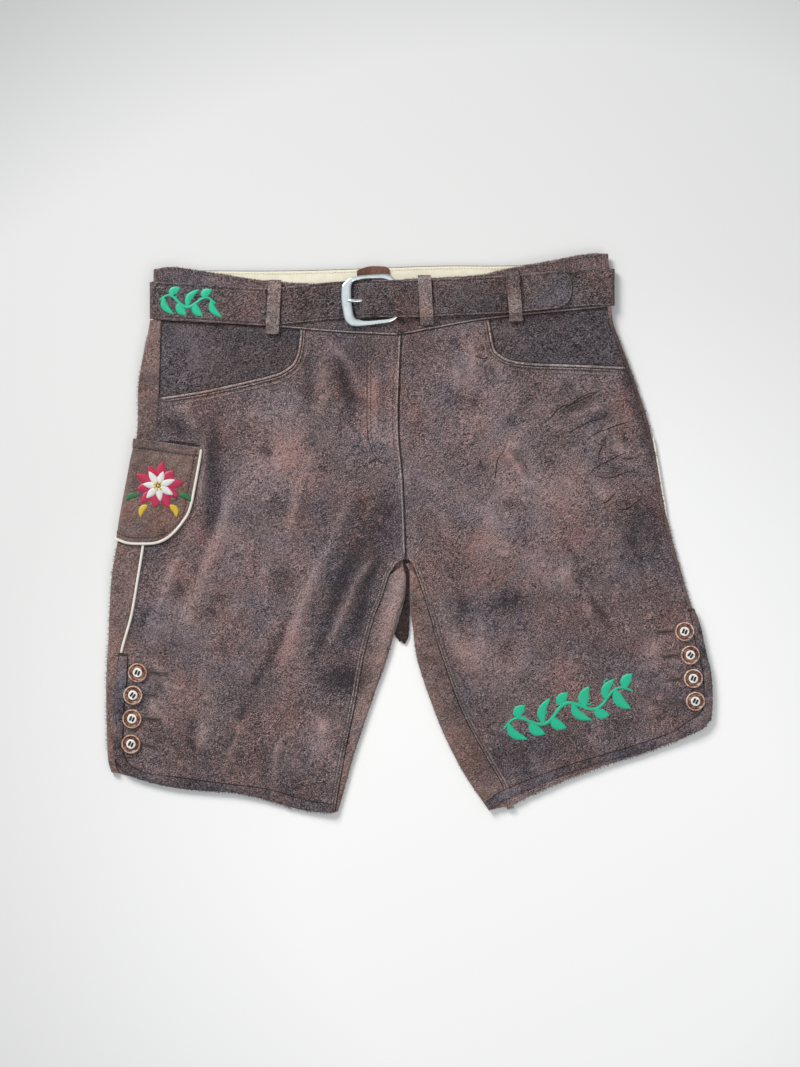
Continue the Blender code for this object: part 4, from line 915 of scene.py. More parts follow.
def waistbands():
    fly = float(curve(FLY, 200))
    for leg in LEGS:
        span = sorted((WAIST_ENDS[leg.side], fly + leg.side * SEAM / 2))
        x, y, z = flat_band(span, lambda q: curve(leg.seam_front, q),
                            lambda q: curve(leg.rim, q) + 0.3 * ripple(q, 0 * q, 3, 2.0), FRONT_WAIST_LEVEL)
        obj = cut_piece(f"waistband_front_{leg.label}", "suede", "suede_front", x, y, z, WALL, SUEDE,
                        flip=True)
        colour_points(obj, x, y, -0.04)


def waistband_back():
    """Band round the back and both sides; its ends lie on the front."""
    radius = (FRONT_WAIST_LEVEL - BACK_WAIST_LEVEL) / 2
    middle = BACK_WAIST_LEVEL + radius
    f = packed(22, 0.3)[:, None]
    arc = np.linspace(-math.pi / 2, math.pi / 2, 15)[None, :]
    ends = []
    for side in (-1, 1):
        centre = mix(*WAIST_SIDES[side], f) - side * radius
        end = np.full((len(f), 1), WAIST_ENDS[side] + side * SEAM)
        x = np.hstack([centre + side * radius * np.cos(arc), end])
        z = np.hstack([middle + radius * np.sin(arc) + 0 * f, np.full((len(f), 1), FRONT_WAIST_LEVEL)])
        ends.append((x[:, ::side], z[:, ::side]))
    (right_x, right_z), (left_x, left_z) = ends
    s = np.linspace(0, 1, 150)[None, 1:-1]
    flat_x = mix(right_x[:, -1:], left_x[:, :1], s)
    x = np.hstack([right_x, flat_x, left_x])
    z = np.hstack([right_z, np.full(flat_x.shape, BACK_WAIST_LEVEL), left_z])
    front_top = np.where(x < 0, curve(WAIST_TOP_RIGHT, x), curve(WAIST_TOP_LEFT, x))
    high = mix(curve(WAIST_TOP_BACK, x), front_top, ease((z - middle) / radius))
    y = mix(curve(WAIST_SEAM_BACK, x) + SEAM, high, f)
    obj = cut_piece("waistband_back", "suede", "suede_back", x, y, z, WALL, SUEDE_BACK)
    colour_points(obj, x, y, -0.06)


LINING_LEVEL = BACK_WAIST_LEVEL + LEATHER + LAYER + LINING


def lining():
    x, y, z = flat_band((-243, 190), lambda q: curve(WAIST_SEAM_BACK, q) + 4,
                        lambda q: curve(WAIST_TOP_BACK, q) - 0.8, LINING_LEVEL, 220, 24, 0.35)
    cut_piece("waistband_lining", "cloth", "cream_lining", x, y, z, LINING_WALL, LINING_CLOTH,
              flip=True)


def crotch_tab():
    """Ragged end of the rise seam, seen between the legs; its suede is painted near black, as the shade
    between them.
    """
    left = [(-27, -5.8), (-36, -5.2), (-45, -3.2), (-60, -3.0), (-80, -8.2), (-98, -13.2), (-103, -13.8),
            (-108, -9.5)]
    right = [(-27, 0.6), (-60, 0.3), (-80, 0.4), (-103, -0.4), (-111, -3.6)]
    t = np.linspace(0, 1, 60)[:, None]
    s = np.linspace(0, 1, 12)[None, :]
    y_left, y_right = mix(-27, -108, t), mix(-27, -111, t)
    x, y = mix(curve(left, y_left), curve(right, y_right), s), mix(y_left, y_right, s)
    x = x + 0.7 * ripple(x, y, 2.4, 1.0) * ease(t * 4 - 1.6)
    y = y + 1.6 * ripple(x, y, 2.2, 2.0) * ease(t * 5 - 4)
    cut_piece("crotch_tab", "suede", "suede_facing", x, y, 2.4 + 0.5 * ripple(x, y, 7, 3.0), WALL, TAB_SUEDE_SHADED)


def hanger_tab():
    rows = [(-52.0, 262.0), (-46.0, 264.6), (-39, 266.3), (-27, 266.3), (-21.5, 265.2), (-19.0, 262.5)]
    x = np.linspace(-52, -19, 36)[None, :]
    t = np.linspace(0, 1, 14)[:, None]
    y = mix(254.0, curve(rows, x), t)
    z = LINING_LEVEL + LAYER + LOOP + 0.35 * np.sin(t * math.pi)
    cut_piece("hanger_tab", "cloth", "hanger_brown", x, y, z, TRIM_WALL, BROWN_SUEDE, flip=True)


# ---------------------------------------------------------------- belt and buckle

def prong_height(x):
    """Middle of the prong, which rests on the broad bar and on the heel bar."""
    on_face = BELT_INSIDE + BELT + LAYER + BUCKLE_THICK + LAYER + PRONG / 2
    on_heel = BELT_INSIDE + BUCKLE_THICK + LAYER + PRONG / 2
    return mix(on_face, on_heel, (np.asarray(x) - BUCKLE_FACE) / (BUCKLE_BAR - BUCKLE_FACE))


def strap_height(x):
    """Inside of the strap along the front: under the broad bar, over the prong and heel bar."""
    x = np.asarray(x, float)
    start, crest = STRAP_RISE
    over = prong_height(np.maximum(x, crest)) + PRONG / 2 + PRONG_CLEAR
    heel = prong_height(BUCKLE_BAR) + PRONG / 2 + PRONG_CLEAR
    climb = mix(BELT_INSIDE, over, ease((x - start) / (crest - start)))
    after = mix(heel, UPPER_STRAP, ease((x - BUCKLE_BAR) / 14))
    return np.select([x <= start, x < crest, x < BUCKLE_BAR], [BELT_INSIDE, climb, over], after)


def strap_z(x, _=None):
    """Height of the strap's upper face on the front."""
    return strap_height(x) + BELT


# Darker and paler stretches of the strap: x, y, half length, half width, turn, change of tone
BELT_PATCHES = [(5, 233, 34, 26, 0, -0.16), (92, 238, 22, 24, 0, -0.20), (138, 243, 24, 22, 0, 0.16),
                (-215, 232, 36, 20, 0, 0.05), (-96, 229, 26, 16, 0, -0.05), (50, 235, 18, 20, 0, 0.05)]


TIP_START, TIP_SHOULDER, TIP_REACH = 138, 150.5, 11.4
TURNED_EDGE = 2.1        # from the strap's edge to its stitched channel


def tip_end(across):
    """Round end of the strap; across runs from -1 to 1 over its width."""
    return TIP_SHOULDER + TIP_REACH * np.sqrt(np.clip(1 - np.abs(across) ** 2.4, 0, 1))


def belt():
    radius = (BELT_INSIDE - (BACK_WAIST_LEVEL - LAYER)) / 2
    middle = BELT_INSIDE - radius
    out = radius + BELT
    right, left = BELT_ENDS[1] - out, BELT_ENDS[-1] + out
    half = BELT_WIDTH / 2
    arc = np.linspace(math.pi / 2, -math.pi / 2, 17)
    lower_x = np.linspace(BUCKLE_BAR, right, 84)[:-1]
    back_x = np.linspace(right, left, 170)[1:-1]
    over_x = np.linspace(left, TIP_START, 175)[1:]
    x = np.concatenate([lower_x, right + out * np.cos(arc), back_x, left - out * np.cos(-arc), over_x])
    z = np.concatenate([0 * lower_x + BELT_INSIDE + BELT, middle + out * np.sin(arc),
                        0 * back_x + middle - out, middle + out * np.sin(-arc), strap_z(over_x)])
    y = np.concatenate([curve(BELT_FRONT, lower_x), 0 * arc + curve(BELT_FRONT, 206),
                        curve(BELT_BACK, back_x), 0 * arc + curve(BELT_FRONT, -259),
                        curve(BELT_FRONT, over_x)])
    across = np.linspace(-1, 1, 23)
    across = mix(across, np.sin(across * math.pi / 2), 0.5)[None, :]
    steps = packed(14, 0.3)[1:, None]
    tip_x = mix(TIP_START, tip_end(across), steps)
    tip_y = curve(BELT_FRONT, tip_x) + across * half * (1 - 0.06 * steps ** 3)
    x = np.vstack([x[:, None] + 0 * across, tip_x])
    y = np.vstack([y[:, None] + across * half, tip_y])
    z = np.vstack([z[:, None] + 0 * across, strap_z(tip_x)])
    edge = (1 - np.abs(across)) * half
    sink = 0.28 * bell(edge - TURNED_EDGE, 0.8) + 0.25 * bell(edge, 0.7)
    wave = 0.22 * ripple(x, y, 21, 12.0) + 0.10 * ripple(x, y, 5, 2.5)
    z = z + np.where(z > middle, 1.0, -1.0) * (wave - sink)
    y = y + 0.35 * ripple(x[:, :1], z[:, :1] * 4, 9, 7.0) * np.abs(across)
    strap = shell("belt_leather", x, y, z, BELT_WALL, BELT_SUEDE, rim=0)
    # Pale worn rims, and the sunk stitched channels painted darker as shade
    worn = 0.16 * bell(edge, 1.0) - 0.10 * bell(edge - TURNED_EDGE, 0.9)
    paint(strap, worn + hills(x, y, BELT_PATCHES) * (z > middle))
    tools = []
    for hole_x, hole_y in HOLES:
        spot = (hole_x * MM, hole_y * MM, (float(strap_z(hole_x)) + 2) * MM)
        bpy.ops.mesh.primitive_cylinder_add(vertices=18, radius=1.5 * MM, depth=9 * MM, location=spot)
        tools.append(bpy.context.object)
    for tool in tools:
        bore = strap.modifiers.new(tool.name, "BOOLEAN")
        bore.object = tool
        bore.solver = "EXACT"
    settle(strap)
    for tool in tools:
        bpy.data.objects.remove(tool, do_unlink=True)
    soften(strap, 0.6, 55)
    finish_piece(strap, "belt_suede", "belt")


def settle(obj):
    """Applies every modifier of a piece."""
    graph = bpy.context.evaluated_depsgraph_get()
    made = bpy.data.meshes.new_from_object(obj.evaluated_get(graph))
    obj.modifiers.clear()
    obj.data = made


def rounded(corners):
    """Closed outline with rounded corners and evenly spaced points between them."""
    corners = np.asarray(corners, float)
    soft, out = 0.32, []
    for before, corner, after in zip(np.roll(corners, 1, 0), corners, np.roll(corners, -1, 0)):
        start, end = mix(corner, before, soft), mix(corner, after, soft)
        out += [(1 - t) ** 2 * start + 2 * t * (1 - t) * corner + t * t * end for t in np.linspace(0, 1, 7)]
        following = mix(after, corner, soft)
        out += [mix(end, following, t) for t in np.linspace(0, 1, 7)[1:-1]]
    return np.array(out)


def squarish(wave):
    """Makes a sine or cosine fuller, for a section between round and square."""
    return np.sign(wave) * np.abs(wave) ** 0.8


def buckle():
    """Rounded frame that leans from the broad bar over the strap to the heel bar under it."""
    outside = rounded([(-12.8, 259.6), (-58, 255.8), (-67.6, 247), (-68.2, 232), (-64.5, 211),
                       (-56, 204.6), (-7.5, 211.2)])
    window = rounded([(-17.5, 253.6), (-55.4, 251.6), (-57.6, 246), (-57.4, 232), (-55.4, 217),
                      (-52, 212.4), (-12.5, 214.6)])
    origin = (BUCKLE_FACE + BUCKLE_BAR) / 2
    tilt = math.atan2(float(prong_height(BUCKLE_FACE) - prong_height(BUCKLE_BAR)), BUCKLE_BAR - BUCKLE_FACE)
    level = float(prong_height(origin)) - PRONG / 2 - LAYER - BUCKLE_THICK / 2
    sides = 20
    a = np.arange(sides) * math.tau / sides
    centre, half = (outside + window) / 2, (outside - window) / 2
    x = centre[:, :1] + half[:, :1] * squarish(np.cos(a)) - origin
    y = centre[:, 1:] + half[:, 1:] * squarish(np.cos(a))
    z = squarish(np.sin(a)) * BUCKLE_THICK / 2 * (1 + 0.10 * bell(x + 40, 14))
    frame_points = stack(x * math.cos(tilt) + z * math.sin(tilt) + origin, y,
                         -x * math.sin(tilt) + z * math.cos(tilt) + level)
    frame_points = np.vstack([frame_points, frame_points[:1]])
    obj = make_mesh("buckle_frame_metal", frame_points.reshape(-1, 3),
                    grid_faces(len(frame_points), sides, True, True), NICKEL)
    weld = obj.modifiers.new("weld", "WELD")
    weld.merge_threshold = 0.01 * MM
    finish_piece(obj, "satin_nickel", "buckle_frame")
    tip_z, heel_z = float(prong_height(PRONG_TIP[0])), float(prong_height(PRONG_HEEL[0]))
    path = [PRONG_TIP + (tip_z - 0.2,), (-55.5, 231.3, tip_z), (-51.5, 231.5, tip_z - 1.2),
            (-45, 231.6, tip_z - 2.2), PRONG_HEEL + (heel_z,)]
    path = along(smooth_path(path, 6), np.linspace(0, 1, 60))
    rod = tube("buckle_prong_metal", path, lambda t: 1.8 - 0.3 * t, NICKEL, 16, 0.5)
    finish_piece(rod, "satin_nickel", "buckle_prong")


def unit(vectors):
    return vectors / (np.linalg.norm(vectors, axis=1)[:, None] + 1e-9)


def rings(direction, sides, flat=1.0):
    """Unit circles across each direction; flat is their height over their width."""
    side = unit(np.cross(direction, [0, 0, 1.0]))
    up = np.cross(side, direction)
    a = np.arange(sides) * math.tau / sides
    return side[:, None, :] * np.cos(a)[None, :, None] + up[:, None, :] * np.sin(a)[None, :, None] * flat


def tube_grid(path, radius, sides, flat=1.0):
    """Rings round a path, closed to a point at both ends; radius may be a function of the fraction."""
    path = np.asarray(path, float)
    size = np.array([radius(t) if callable(radius) else radius for t in np.linspace(0, 1, len(path))])
    run = lengths(path)
    tip = np.minimum(run, run[-1] - run)
    size = size * np.sqrt(np.clip(1 - (1 - np.clip(tip / size, 0, 1)) ** 2, 0.0004, 1))
    tangent = np.gradient(path, axis=0)
    tangent /= np.linalg.norm(tangent, axis=1)[:, None]
    return path[:, None, :] + rings(tangent, sides, flat) * size[:, None, None]


def tube(name, path, radius, material, sides, flat):
    """Round cord along a path with dense, rounded ends."""
    run = lengths(path)
    start = radius(0) if callable(radius) else radius
    ends = np.array([0, 0.03, 0.12, 0.3, 0.6, 1.0]) * start / run[-1]
    inner = run[(run > start) & (run < run[-1] - start)] / run[-1]
    at = np.unique(np.concatenate([ends, inner, 1 - ends]))
    grid = tube_grid(along(path, at), radius, sides, flat)
    return make_mesh(name, grid.reshape(-1, 3), grid_faces(len(grid), sides, False, True), material)


# ---------------------------------------------------------------- belt loops

def loop_profile(number, s):
    """Heights of a belt loop's upper face at points (y, z) from its top to its lower end."""
    x_top, y_top, x_low, y_low, straps = FRONT_LOOPS[number]
    crest = BELT_INSIDE + BELT + LAYER + (BELT + LAYER) * (straps - 1) + LOOP
    foot, reach = BELT_INSIDE + LOOP, BELT_WIDTH / 2
    middle = float(curve(BELT_FRONT, (x_top + x_low) / 2 + s * LOOP_WIDTH / 2))
    return [(y_top, foot), (middle + reach + 2.6, foot + 0.1), (middle + reach + 1.2, (foot + crest) / 2),
            (middle + reach - 0.4, crest + 0.1), (middle + reach - 4, crest + 0.3), (middle, crest + 0.2),
            (middle - reach + 4, crest + 0.3), (middle - reach - 0.4, crest + 0.1),
            (middle - reach - 2.6, mix(foot, crest, 0.72)), (middle - reach - 5.0, mix(foot, crest, 0.35)),
            (y_low, foot + 0.2)]


def loop_x(number, y, s=0.0):
    """Where a loop's line is at a height; s runs from -1 to 1 across the loop."""
    x_top, y_top, x_low, y_low, _ = FRONT_LOOPS[number]
    return mix(x_top, x_low, (y_top - y) / (y_top - y_low)) + s * LOOP_WIDTH / 2


def loop_line(number, s, end, lift):
    """Path down a loop's face, for stitches and worn edges."""
    path = along(loop_profile(number, s), np.linspace(0.03, end, 60))
    return stack(loop_x(number, path[:, 0], s), path[:, 0], path[:, 1] + lift)


def front_loop(number):
    _, y_top, _, y_low, _ = FRONT_LOOPS[number]
    across = np.linspace(-1, 1, 15)
    across = mix(across, np.sin(across * math.pi / 2), 0.6)
    columns = []
    for s in across:
        end = 1.0 - math.sqrt(max(0.0, 1 - abs(s) ** 2.4))
        profile = loop_profile(number, s)
        profile[-1] = (y_low + end, profile[-1][1])
        profile[0] = (y_top - 0.3 * end, profile[0][1])
        path = along(profile, np.linspace(0, 1, 90))
        edge = (1 - abs(s)) * LOOP_WIDTH / 2
        bow = -0.25 * bell(edge, 0.7) - 0.3 * bell(edge - 2.2, 0.7)
        columns.append((loop_x(number, path[:, 0], s), path[:, 0], path[:, 1] + bow + 0.2))
    x, y, z = grid_of(columns)
    x = x + 0.4 * ripple(0 * x, y, 6, 20.0 + number) * np.sign(across)[None, :] * np.abs(across) ** 4
    z = z + 0.12 * ripple(x, y, 5, number)
    obj = cut_piece(f"belt_loop_front_{number + 1}", "suede", "suede_back", x, y, z, TRIM_WALL, LOOP_SUEDE,
                    flip=True)
    darker, colder = (0.36, 0.75) if number == 2 else (0.04, 0.0)
    worn = ease((y - y_top + 34) / 16)
    paint(obj, 0.10 - darker * worn, 0.25 - colder * worn)


def back_loop(number):
    x_top, y_top, x_low, y_low = BACK_LOOPS[number]
    s = np.linspace(-1, 1, 9)[None, :]
    t = np.linspace(0, 1, 50)[:, None]
    x = mix(x_top, x_low, t) + s * LOOP_WIDTH / 2
    z = 0.05 + 0.1 * bell((1 - abs(s)) * LOOP_WIDTH / 2, 1)
    cut_piece(f"belt_loop_back_{number + 1}", "suede", "suede_back", x, mix(y_top, y_low, t), z, TRIM_WALL,
              LOOP_SUEDE, flip=True)


# ---------------------------------------------------------------- patch pocket, piping, buttons

def pocket_low(u):
    reach = np.where(np.asarray(u) > POCKET_MIDDLE, POCKET_REACH[1], POCKET_REACH[-1])
    return POCKET_BOTTOM + POCKET_CORNER * (np.abs(u - POCKET_MIDDLE) / reach) ** POCKET_ROUND


def pocket_high(u):
    return POCKET_TOP + POCKET_SLOPE * u


# Where the pocket's face starts on the front and ends behind the fold, in distances round it
POCKET_U = (67.0, -18.0)


def side_pocket():
    u = mix(*POCKET_U, np.linspace(0, 1, 96))[None, :]
    t = packed(90, 0.35)[:, None]
    y = mix(pocket_high(u), pocket_low(u), t)
    below_top = pocket_high(u) - y
    edge = np.minimum(y - pocket_low(u), POCKET_U[0] - u)
    lift = LEATHER + POCKET_CLEAR + 0.9 * ease((9 - below_top) / 2.5) * ease(below_top / 1.5 + 0.4)
    lift = lift - 0.5 * bell(below_top - 8.7, 1.1) - 0.4 * bell(edge - 4.6, 1.1)
    lift = lift + 0.8 * ease(edge / 22) * ease((below_top - 9) / 14)
    x, y, z = around(RIGHT, u + 0 * t, y, lift)
    z = z + 0.3 * ripple(x, y, 13, 30.0) * (z > 8)
    cut_piece("side_pocket", "suede", "suede_front", x, y, z, TRIM_WALL, POCKET_SUEDE, flip=True)


def pocket_point(u, y, out):
    """Point on the patch pocket's face."""
    return stack(*around(RIGHT, u, y, LEATHER + POCKET_CLEAR + out))


def pocket_edge(inset, last, out):
    """Path on the pocket's face along its straight side and round bottom."""
    side_u = POCKET_U[0] - inset
    top_y, low_y = float(pocket_high(side_u)) - 1.5, float(pocket_low(side_u)) + inset
    side = [(side_u, y) for y in np.linspace(top_y, low_y + 4, 14)]
    bottom = [(u, float(pocket_low(u)) + inset) for u in np.linspace(side_u - 1.5, last, 60)]
    edge = smooth_path(side[::2] + bottom[::3], 6)
    return pocket_point(edge[:, 0], edge[:, 1], out)


def piping(node, path, radius, flat):
    finish_piece(tube(f"{node}_cord", path, radius, PIPING_CLOTH, 10, flat), "cream_piping", node)


def pipings():
    piping("side_pocket_piping", pocket_edge(-1.4, -16, -0.2), 1.4, 0.9)
    y = np.linspace(-11.5, -120, 90)
    u = RIGHT.side_x(y) - curve(OUTER_RIGHT, y) + 2.5
    piping("side_piping_right", stack(*around(RIGHT, u, y, 1.2)), 1.35, 0.75)
    y = np.linspace(96, -74, 120)
    sink = 2.4 * ease((34 - y) / 26)        # the lower half lies down in its seam
    piping("side_piping_left", stack(*around(LEFT, 0.2, y, 1.3 - sink)), 1.0, 0.8)


class Build:
    """Collects parts with several materials into one mesh."""

    def __init__(self):
        self.points, self.faces, self.slots, self.count = [], [], [], 0

    def grid(self, points, slot=0, flip=False, wrap=False):
        points = np.asarray(points, float)
        rows, columns = points.shape[:2]
        self.points.append(points.reshape(-1, 3))
        faces = grid_faces(rows, columns, flip, wrap, self.count)
        self.faces.append(faces)
        self.slots.append(np.full(len(faces), slot))
        self.count += rows * columns

    def done(self, name, materials):
        obj = make_mesh(name, np.vstack(self.points), np.vstack(self.faces).tolist(), materials[0])
        for other in materials[1:]:
            obj.data.materials.append(other)
        obj.data.polygons.foreach_set("material_index", np.concatenate(self.slots).astype(np.int32))
        return obj


BUTTON_RADIUS = 9.6
# A button's section in three materials, with the rim painted pale as its highlight: rows of (radius, height)
BUTTON_RIM = [(0.01, 0.1), (6, 0.1), (8.6, 0.3), (9.4, 1.0), (9.6, 1.7), (9.6, 2.2), (9.4, 2.75), (9.0, 3.05),
              (8.5, 3.1), (8.2, 2.95)]
BUTTON_DISH = [(8.2, 2.95), (7.9, 2.75), (7.6, 2.5), (7.0, 2.15), (6.2, 1.95), (5.4, 2.05), (4.7, 2.4)]
BUTTON_CORE = [(4.7, 2.4), (4.5, 2.75), (4.1, 2.95), (3.5, 2.9), (2.4, 2.75), (0.01, 2.7)]


def lathe(build, centre, profile, slot):
    """Turned surface from (radius, height) rows."""
    a = np.arange(30) * math.tau / 30
    radius, height = np.hsplit(np.asarray(profile, float), 2)
    grid = stack(radius * np.cos(a), radius * np.sin(a), height) + np.array(centre)
    build.grid(grid, slot, wrap=True)


def buttons():
    for side, rows in BUTTONS.items():
        for k, (x, y) in enumerate(rows, 1):
            a = np.arange(12) * math.tau / 12
            rim_z = top(x + BUTTON_RADIUS * np.cos(a), y + BUTTON_RADIUS * np.sin(a))
            seat = max(float(rim_z.max()), float(top(x, y))) + LAYER
            made = Build()
            for slot, profile in enumerate((BUTTON_RIM, BUTTON_DISH, BUTTON_CORE)):
                lathe(made, (x, y, seat), profile, slot)
            turn = math.radians(62 + 9 * math.sin(k * 2.3))
            c = np.linspace(-1, 1, 12)
            for shift in (-1.45, 1.45):
                strand = stack(x + shift * math.sin(turn) - 2.7 * math.cos(turn) * c,
                               y - shift * math.cos(turn) - 2.7 * math.sin(turn) * c,
                               seat + 2.7 + 0.4 * (1 - c * c))
                made.grid(tube_grid(strand, 1.0, 8, 0.6), 3, wrap=True)
            obj = made.done(f"button_{side}_{k}_horn", [HORN_RIM_HIGHLIGHT, HORN, HORN_CORE, THREAD_BLACK])
            finish_piece(obj, "horn", f"button_{side}_{k}")


# ---------------------------------------------------------------- threads

def capsules(starts, ends, radius, sink=0.25, sides=5):
    """Many short threads, each arched a little with its ends down in the leather."""
    stops = np.array([0, 0.06, 0.3, 0.7, 0.94, 1.0])
    sizes = np.array([0.15, 0.75, 1.0, 1.0, 0.75, 0.15]) * radius
    drop = np.array([1, 0.55, 0, 0, 0.55, 1]) * sink
    path = starts[:, None, :] + (ends - starts)[:, None, :] * stops[None, :, None]
    path[:, :, 2] -= drop
    grid = path[:, :, None, :] + rings(unit(ends - starts), sides)[:, None] * sizes[None, :, None, None]
    base = grid_faces(len(stops), sides, False, True)
    faces = base[None] + np.arange(len(starts))[:, None, None] * len(stops) * sides
    return grid.reshape(-1, 3), faces.reshape(-1, 4).tolist()


def on_surface(path, height, lift):
    """Plan points raised onto a surface."""
    return stack(path[:, 0], path[:, 1], height(path[:, 0], path[:, 1]) + lift)


class Thread:
    """Stitches of one colour, gathered into one piece."""

    def __init__(self):
        self.starts, self.ends, self.random = [], [], np.random.default_rng(7)

    def add(self, starts, ends):
        self.starts.append(np.atleast_2d(starts))
        self.ends.append(np.atleast_2d(ends))

    def line(self, path, height=None, pitch=3.5, fill=0.74, lift=0.12, shift=0.0):
        """Row of lockstitches along a path; height gives the surface's level under a plan path."""
        path = offset_path(path, shift)
        count = max(1, int(lengths(path)[-1] / pitch))
        at = (np.arange(count) + 0.5) / count
        half = fill / 2 / count
        jitter = self.random.uniform(-0.04, 0.04, count) / count
        a, b = (along(path, np.clip(at + way * half + jitter, 0, 1)) for way in (-1, 1))
        wander = self.random.normal(0, 0.12, (count, 2))
        if height:
            a, b = on_surface(a + wander, height, lift), on_surface(b + wander, height, lift)
        self.add(a, b)

    def bars(self, start, end, width, height, pitch=0.75, lift=0.3):
        """Satin bar: threads laid across the line from start to end."""
        start, end = np.asarray(start, float), np.asarray(end, float)
        length = np.linalg.norm(end - start)
        middle = start + (end - start) * np.linspace(0, 1, max(2, int(length / pitch)))[:, None]
        across = np.array([-(end - start)[1], (end - start)[0]]) / length * width / 2
        a, b = middle + across, middle - across
        a, b = a + self.random.normal(0, 0.1, a.shape), b + self.random.normal(0, 0.1, b.shape)
        level = height(middle[:, 0], middle[:, 1]) + lift
        self.add(np.column_stack([a, level]), np.column_stack([b, level]))

    def done(self, name, material, slot, radius=0.34):
        grid, faces = capsules(np.vstack(self.starts), np.vstack(self.ends), radius)
        finish_piece(make_mesh(name, grid, faces, material), slot)


def offset_path(path, distance):
    """The path moved sideways; a positive distance is to its left."""
    path = np.array(path, float)
    if distance:
        tangent = unit(np.gradient(path[:, :2], axis=0))
        path[:, :2] += stack(-tangent[:, 1], tangent[:, 0]) * distance
    return path


def level_at(z):
    """Height function of a level surface."""
    return lambda x, y: z + 0 * np.asarray(x)


band_z = level_at(FRONT_WAIST_LEVEL + 0.2)

JSTITCH = [(-41.8, 196), (-41.8, 150), (-41.8, 109), (-39.3, 89), (-32, 74), (-20.2, 67.5)]
HOLE_ENDS = [((-261, -139), (-242, -141.4)), ((-265.5, -162), (-252, -162.5)),
             ((-266.4, -185.4), (-247.8, -187)), ((-267.4, -211.3), (-251.6, -215)),
             ((264, -98.3), (248, -99.5)), ((270, -122), (254, -124)), ((273, -145.6), (257, -148)),
             ((275, -168.5), (260, -171))]


# Bars that hold the ends of seams: start, end, width
BAR_TACKS = [((278.6, -77.2), (284.8, -77.2), 3.6), ((-290.0, -121.8), (-281.5, -121.8), 3.6),
             ((-249.0, 132), (-249.0, 137), 5), ((-40, 70), (-34, 74), 3.0)]


def topstitches():
    light = Thread()
    for leg in LEGS:
        for inset in (4.8, 8.3):
            light.line(leg.scoop_path()[2:], front_z, shift=leg.side * inset)
        for inset in (2.6, 6.0):
            light.line(leg.inseam_path(-30), front_z, 3.6, shift=leg.side * inset)
        x = np.linspace(*((-244, -12) if leg.side < 0 else (-4, 191)), 60)
        light.line(along_x(leg.seam_front, x, 2.4), band_z, 3.7)
        light.line(along_x(leg.rim, x, -3.0), band_z, 3.7)
    for shift in (0.0, 3.4):
        light.line(smooth_path(JSTITCH, 6), front_z, shift=shift)
    light.line(along_y(FLY, np.linspace(194, -14, 60), -5.5), front_z)
    for leg in LEGS:
        light.line(smooth_path(HEM_INNER[leg.side], 6), front_z, 3.4, 0.8, 0.45)
    for y, inset in ((np.linspace(-16, -116, 40), 4.6), (np.linspace(128, 98, 20), 3.5)):
        light.line(along_y(SEAM_RIGHT, y, inset), front_z, 3.6)
    for start, end, width in BAR_TACKS:
        light.bars(start, end, width, front_z)
    pocket_thread = Thread()
    pocket_thread.line(pocket_edge(4.6, -10, 0.35), None, 3.3, 0.66)
    u = np.linspace(POCKET_U[0] - 1, -8, 60)
    pocket_thread.line(pocket_point(u, pocket_high(u) - 8.7, 0.4), None, 3.3, 0.66)
    pocket_thread.done("pocket_stitching", THREAD_DARK, "suede_front", 0.5)
    corner = pocket_point(np.array([62.0, 66.0]), np.array([80.6, 80.2]), 0.5)
    for row in np.linspace(-2.6, 2.6, 7):
        light.add(*(corner + [0, row, 0.1]))
    light.done("topstitching", THREAD_SEAM, "suede_front", 0.44)

    # Each buttonhole's slit is one dark cord of painted shade; the edging is brown thread
    slit, edging = Thread(), Thread()
    for start, end in HOLE_ENDS:
        a, b = np.array(start), np.array(end)
        d = (b - a) / np.linalg.norm(b - a)
        n = np.array([-d[1], d[0]])
        slit.line([a, (a + b) / 2, b], front_z, 40, 0.98, 0.1)
        for sign in (-1, 1):
            edging.bars(a + n * sign * 1.25, b + n * sign * 1.25, 1.7, front_z, 0.85, 0.22)
        edging.bars(b - n * 2.0, b + n * 2.0, 1.6, front_z, 0.8, 0.25)
    slit.done("buttonhole_slit_shade", THREAD_DARK, "suede_front", 0.45)
    edging.done("buttonhole_edging", THREAD_BROWN, "suede_front", 0.36)


def belt_stitches():
    dark = Thread()
    half = BELT_WIDTH / 2 - TURNED_EDGE
    x = np.linspace(-251, 146, 160)
    tip = [(146, 0.98), (150, 0.94), (154, 0.80), (156.8, 0.55), (158.2, 0.25), (158.4, 0.0)]
    level = lambda x, _: strap_z(x) - 0.12
    for sign in (-1, 1):
        dark.line(along_x(BELT_FRONT, x, sign * half), level, 3.3, 0.72)
    end = [(tx, float(curve(BELT_FRONT, tx)) + s * half) for tx, s in tip]
    end += [(tx, float(curve(BELT_FRONT, tx)) - s * half) for tx, s in tip[-2::-1]]
    dark.line(smooth_path(end, 4), level, 3.3, 0.72)
    for number, (_, y_top, _, y_low, _) in enumerate(FRONT_LOOPS):
        for s in (-0.66, 0.66):
            dark.line(loop_line(number, s, 0.97, 0.15), None, 3.2, 0.7)
        for y in (y_top - 2.2, y_low + 2.6):
            row = stack(loop_x(number, y) + np.array([-4, 0, 4]), y)
            dark.line(row, level_at(BELT_INSIDE + LOOP), 2.7, 0.7)
    dark.done("belt_stitching", THREAD_DARK, "belt_suede")
    pale = Thread()
    rim = along_x(WAIST_TOP_BACK, np.linspace(-240, 186, 170), -3.2)
    pale.line(rim, level_at(LINING_LEVEL), 3.0, 0.6, 0.35)
    pale.done("lining_stitching", THREAD_CREAM, "cream_lining", 0.3)


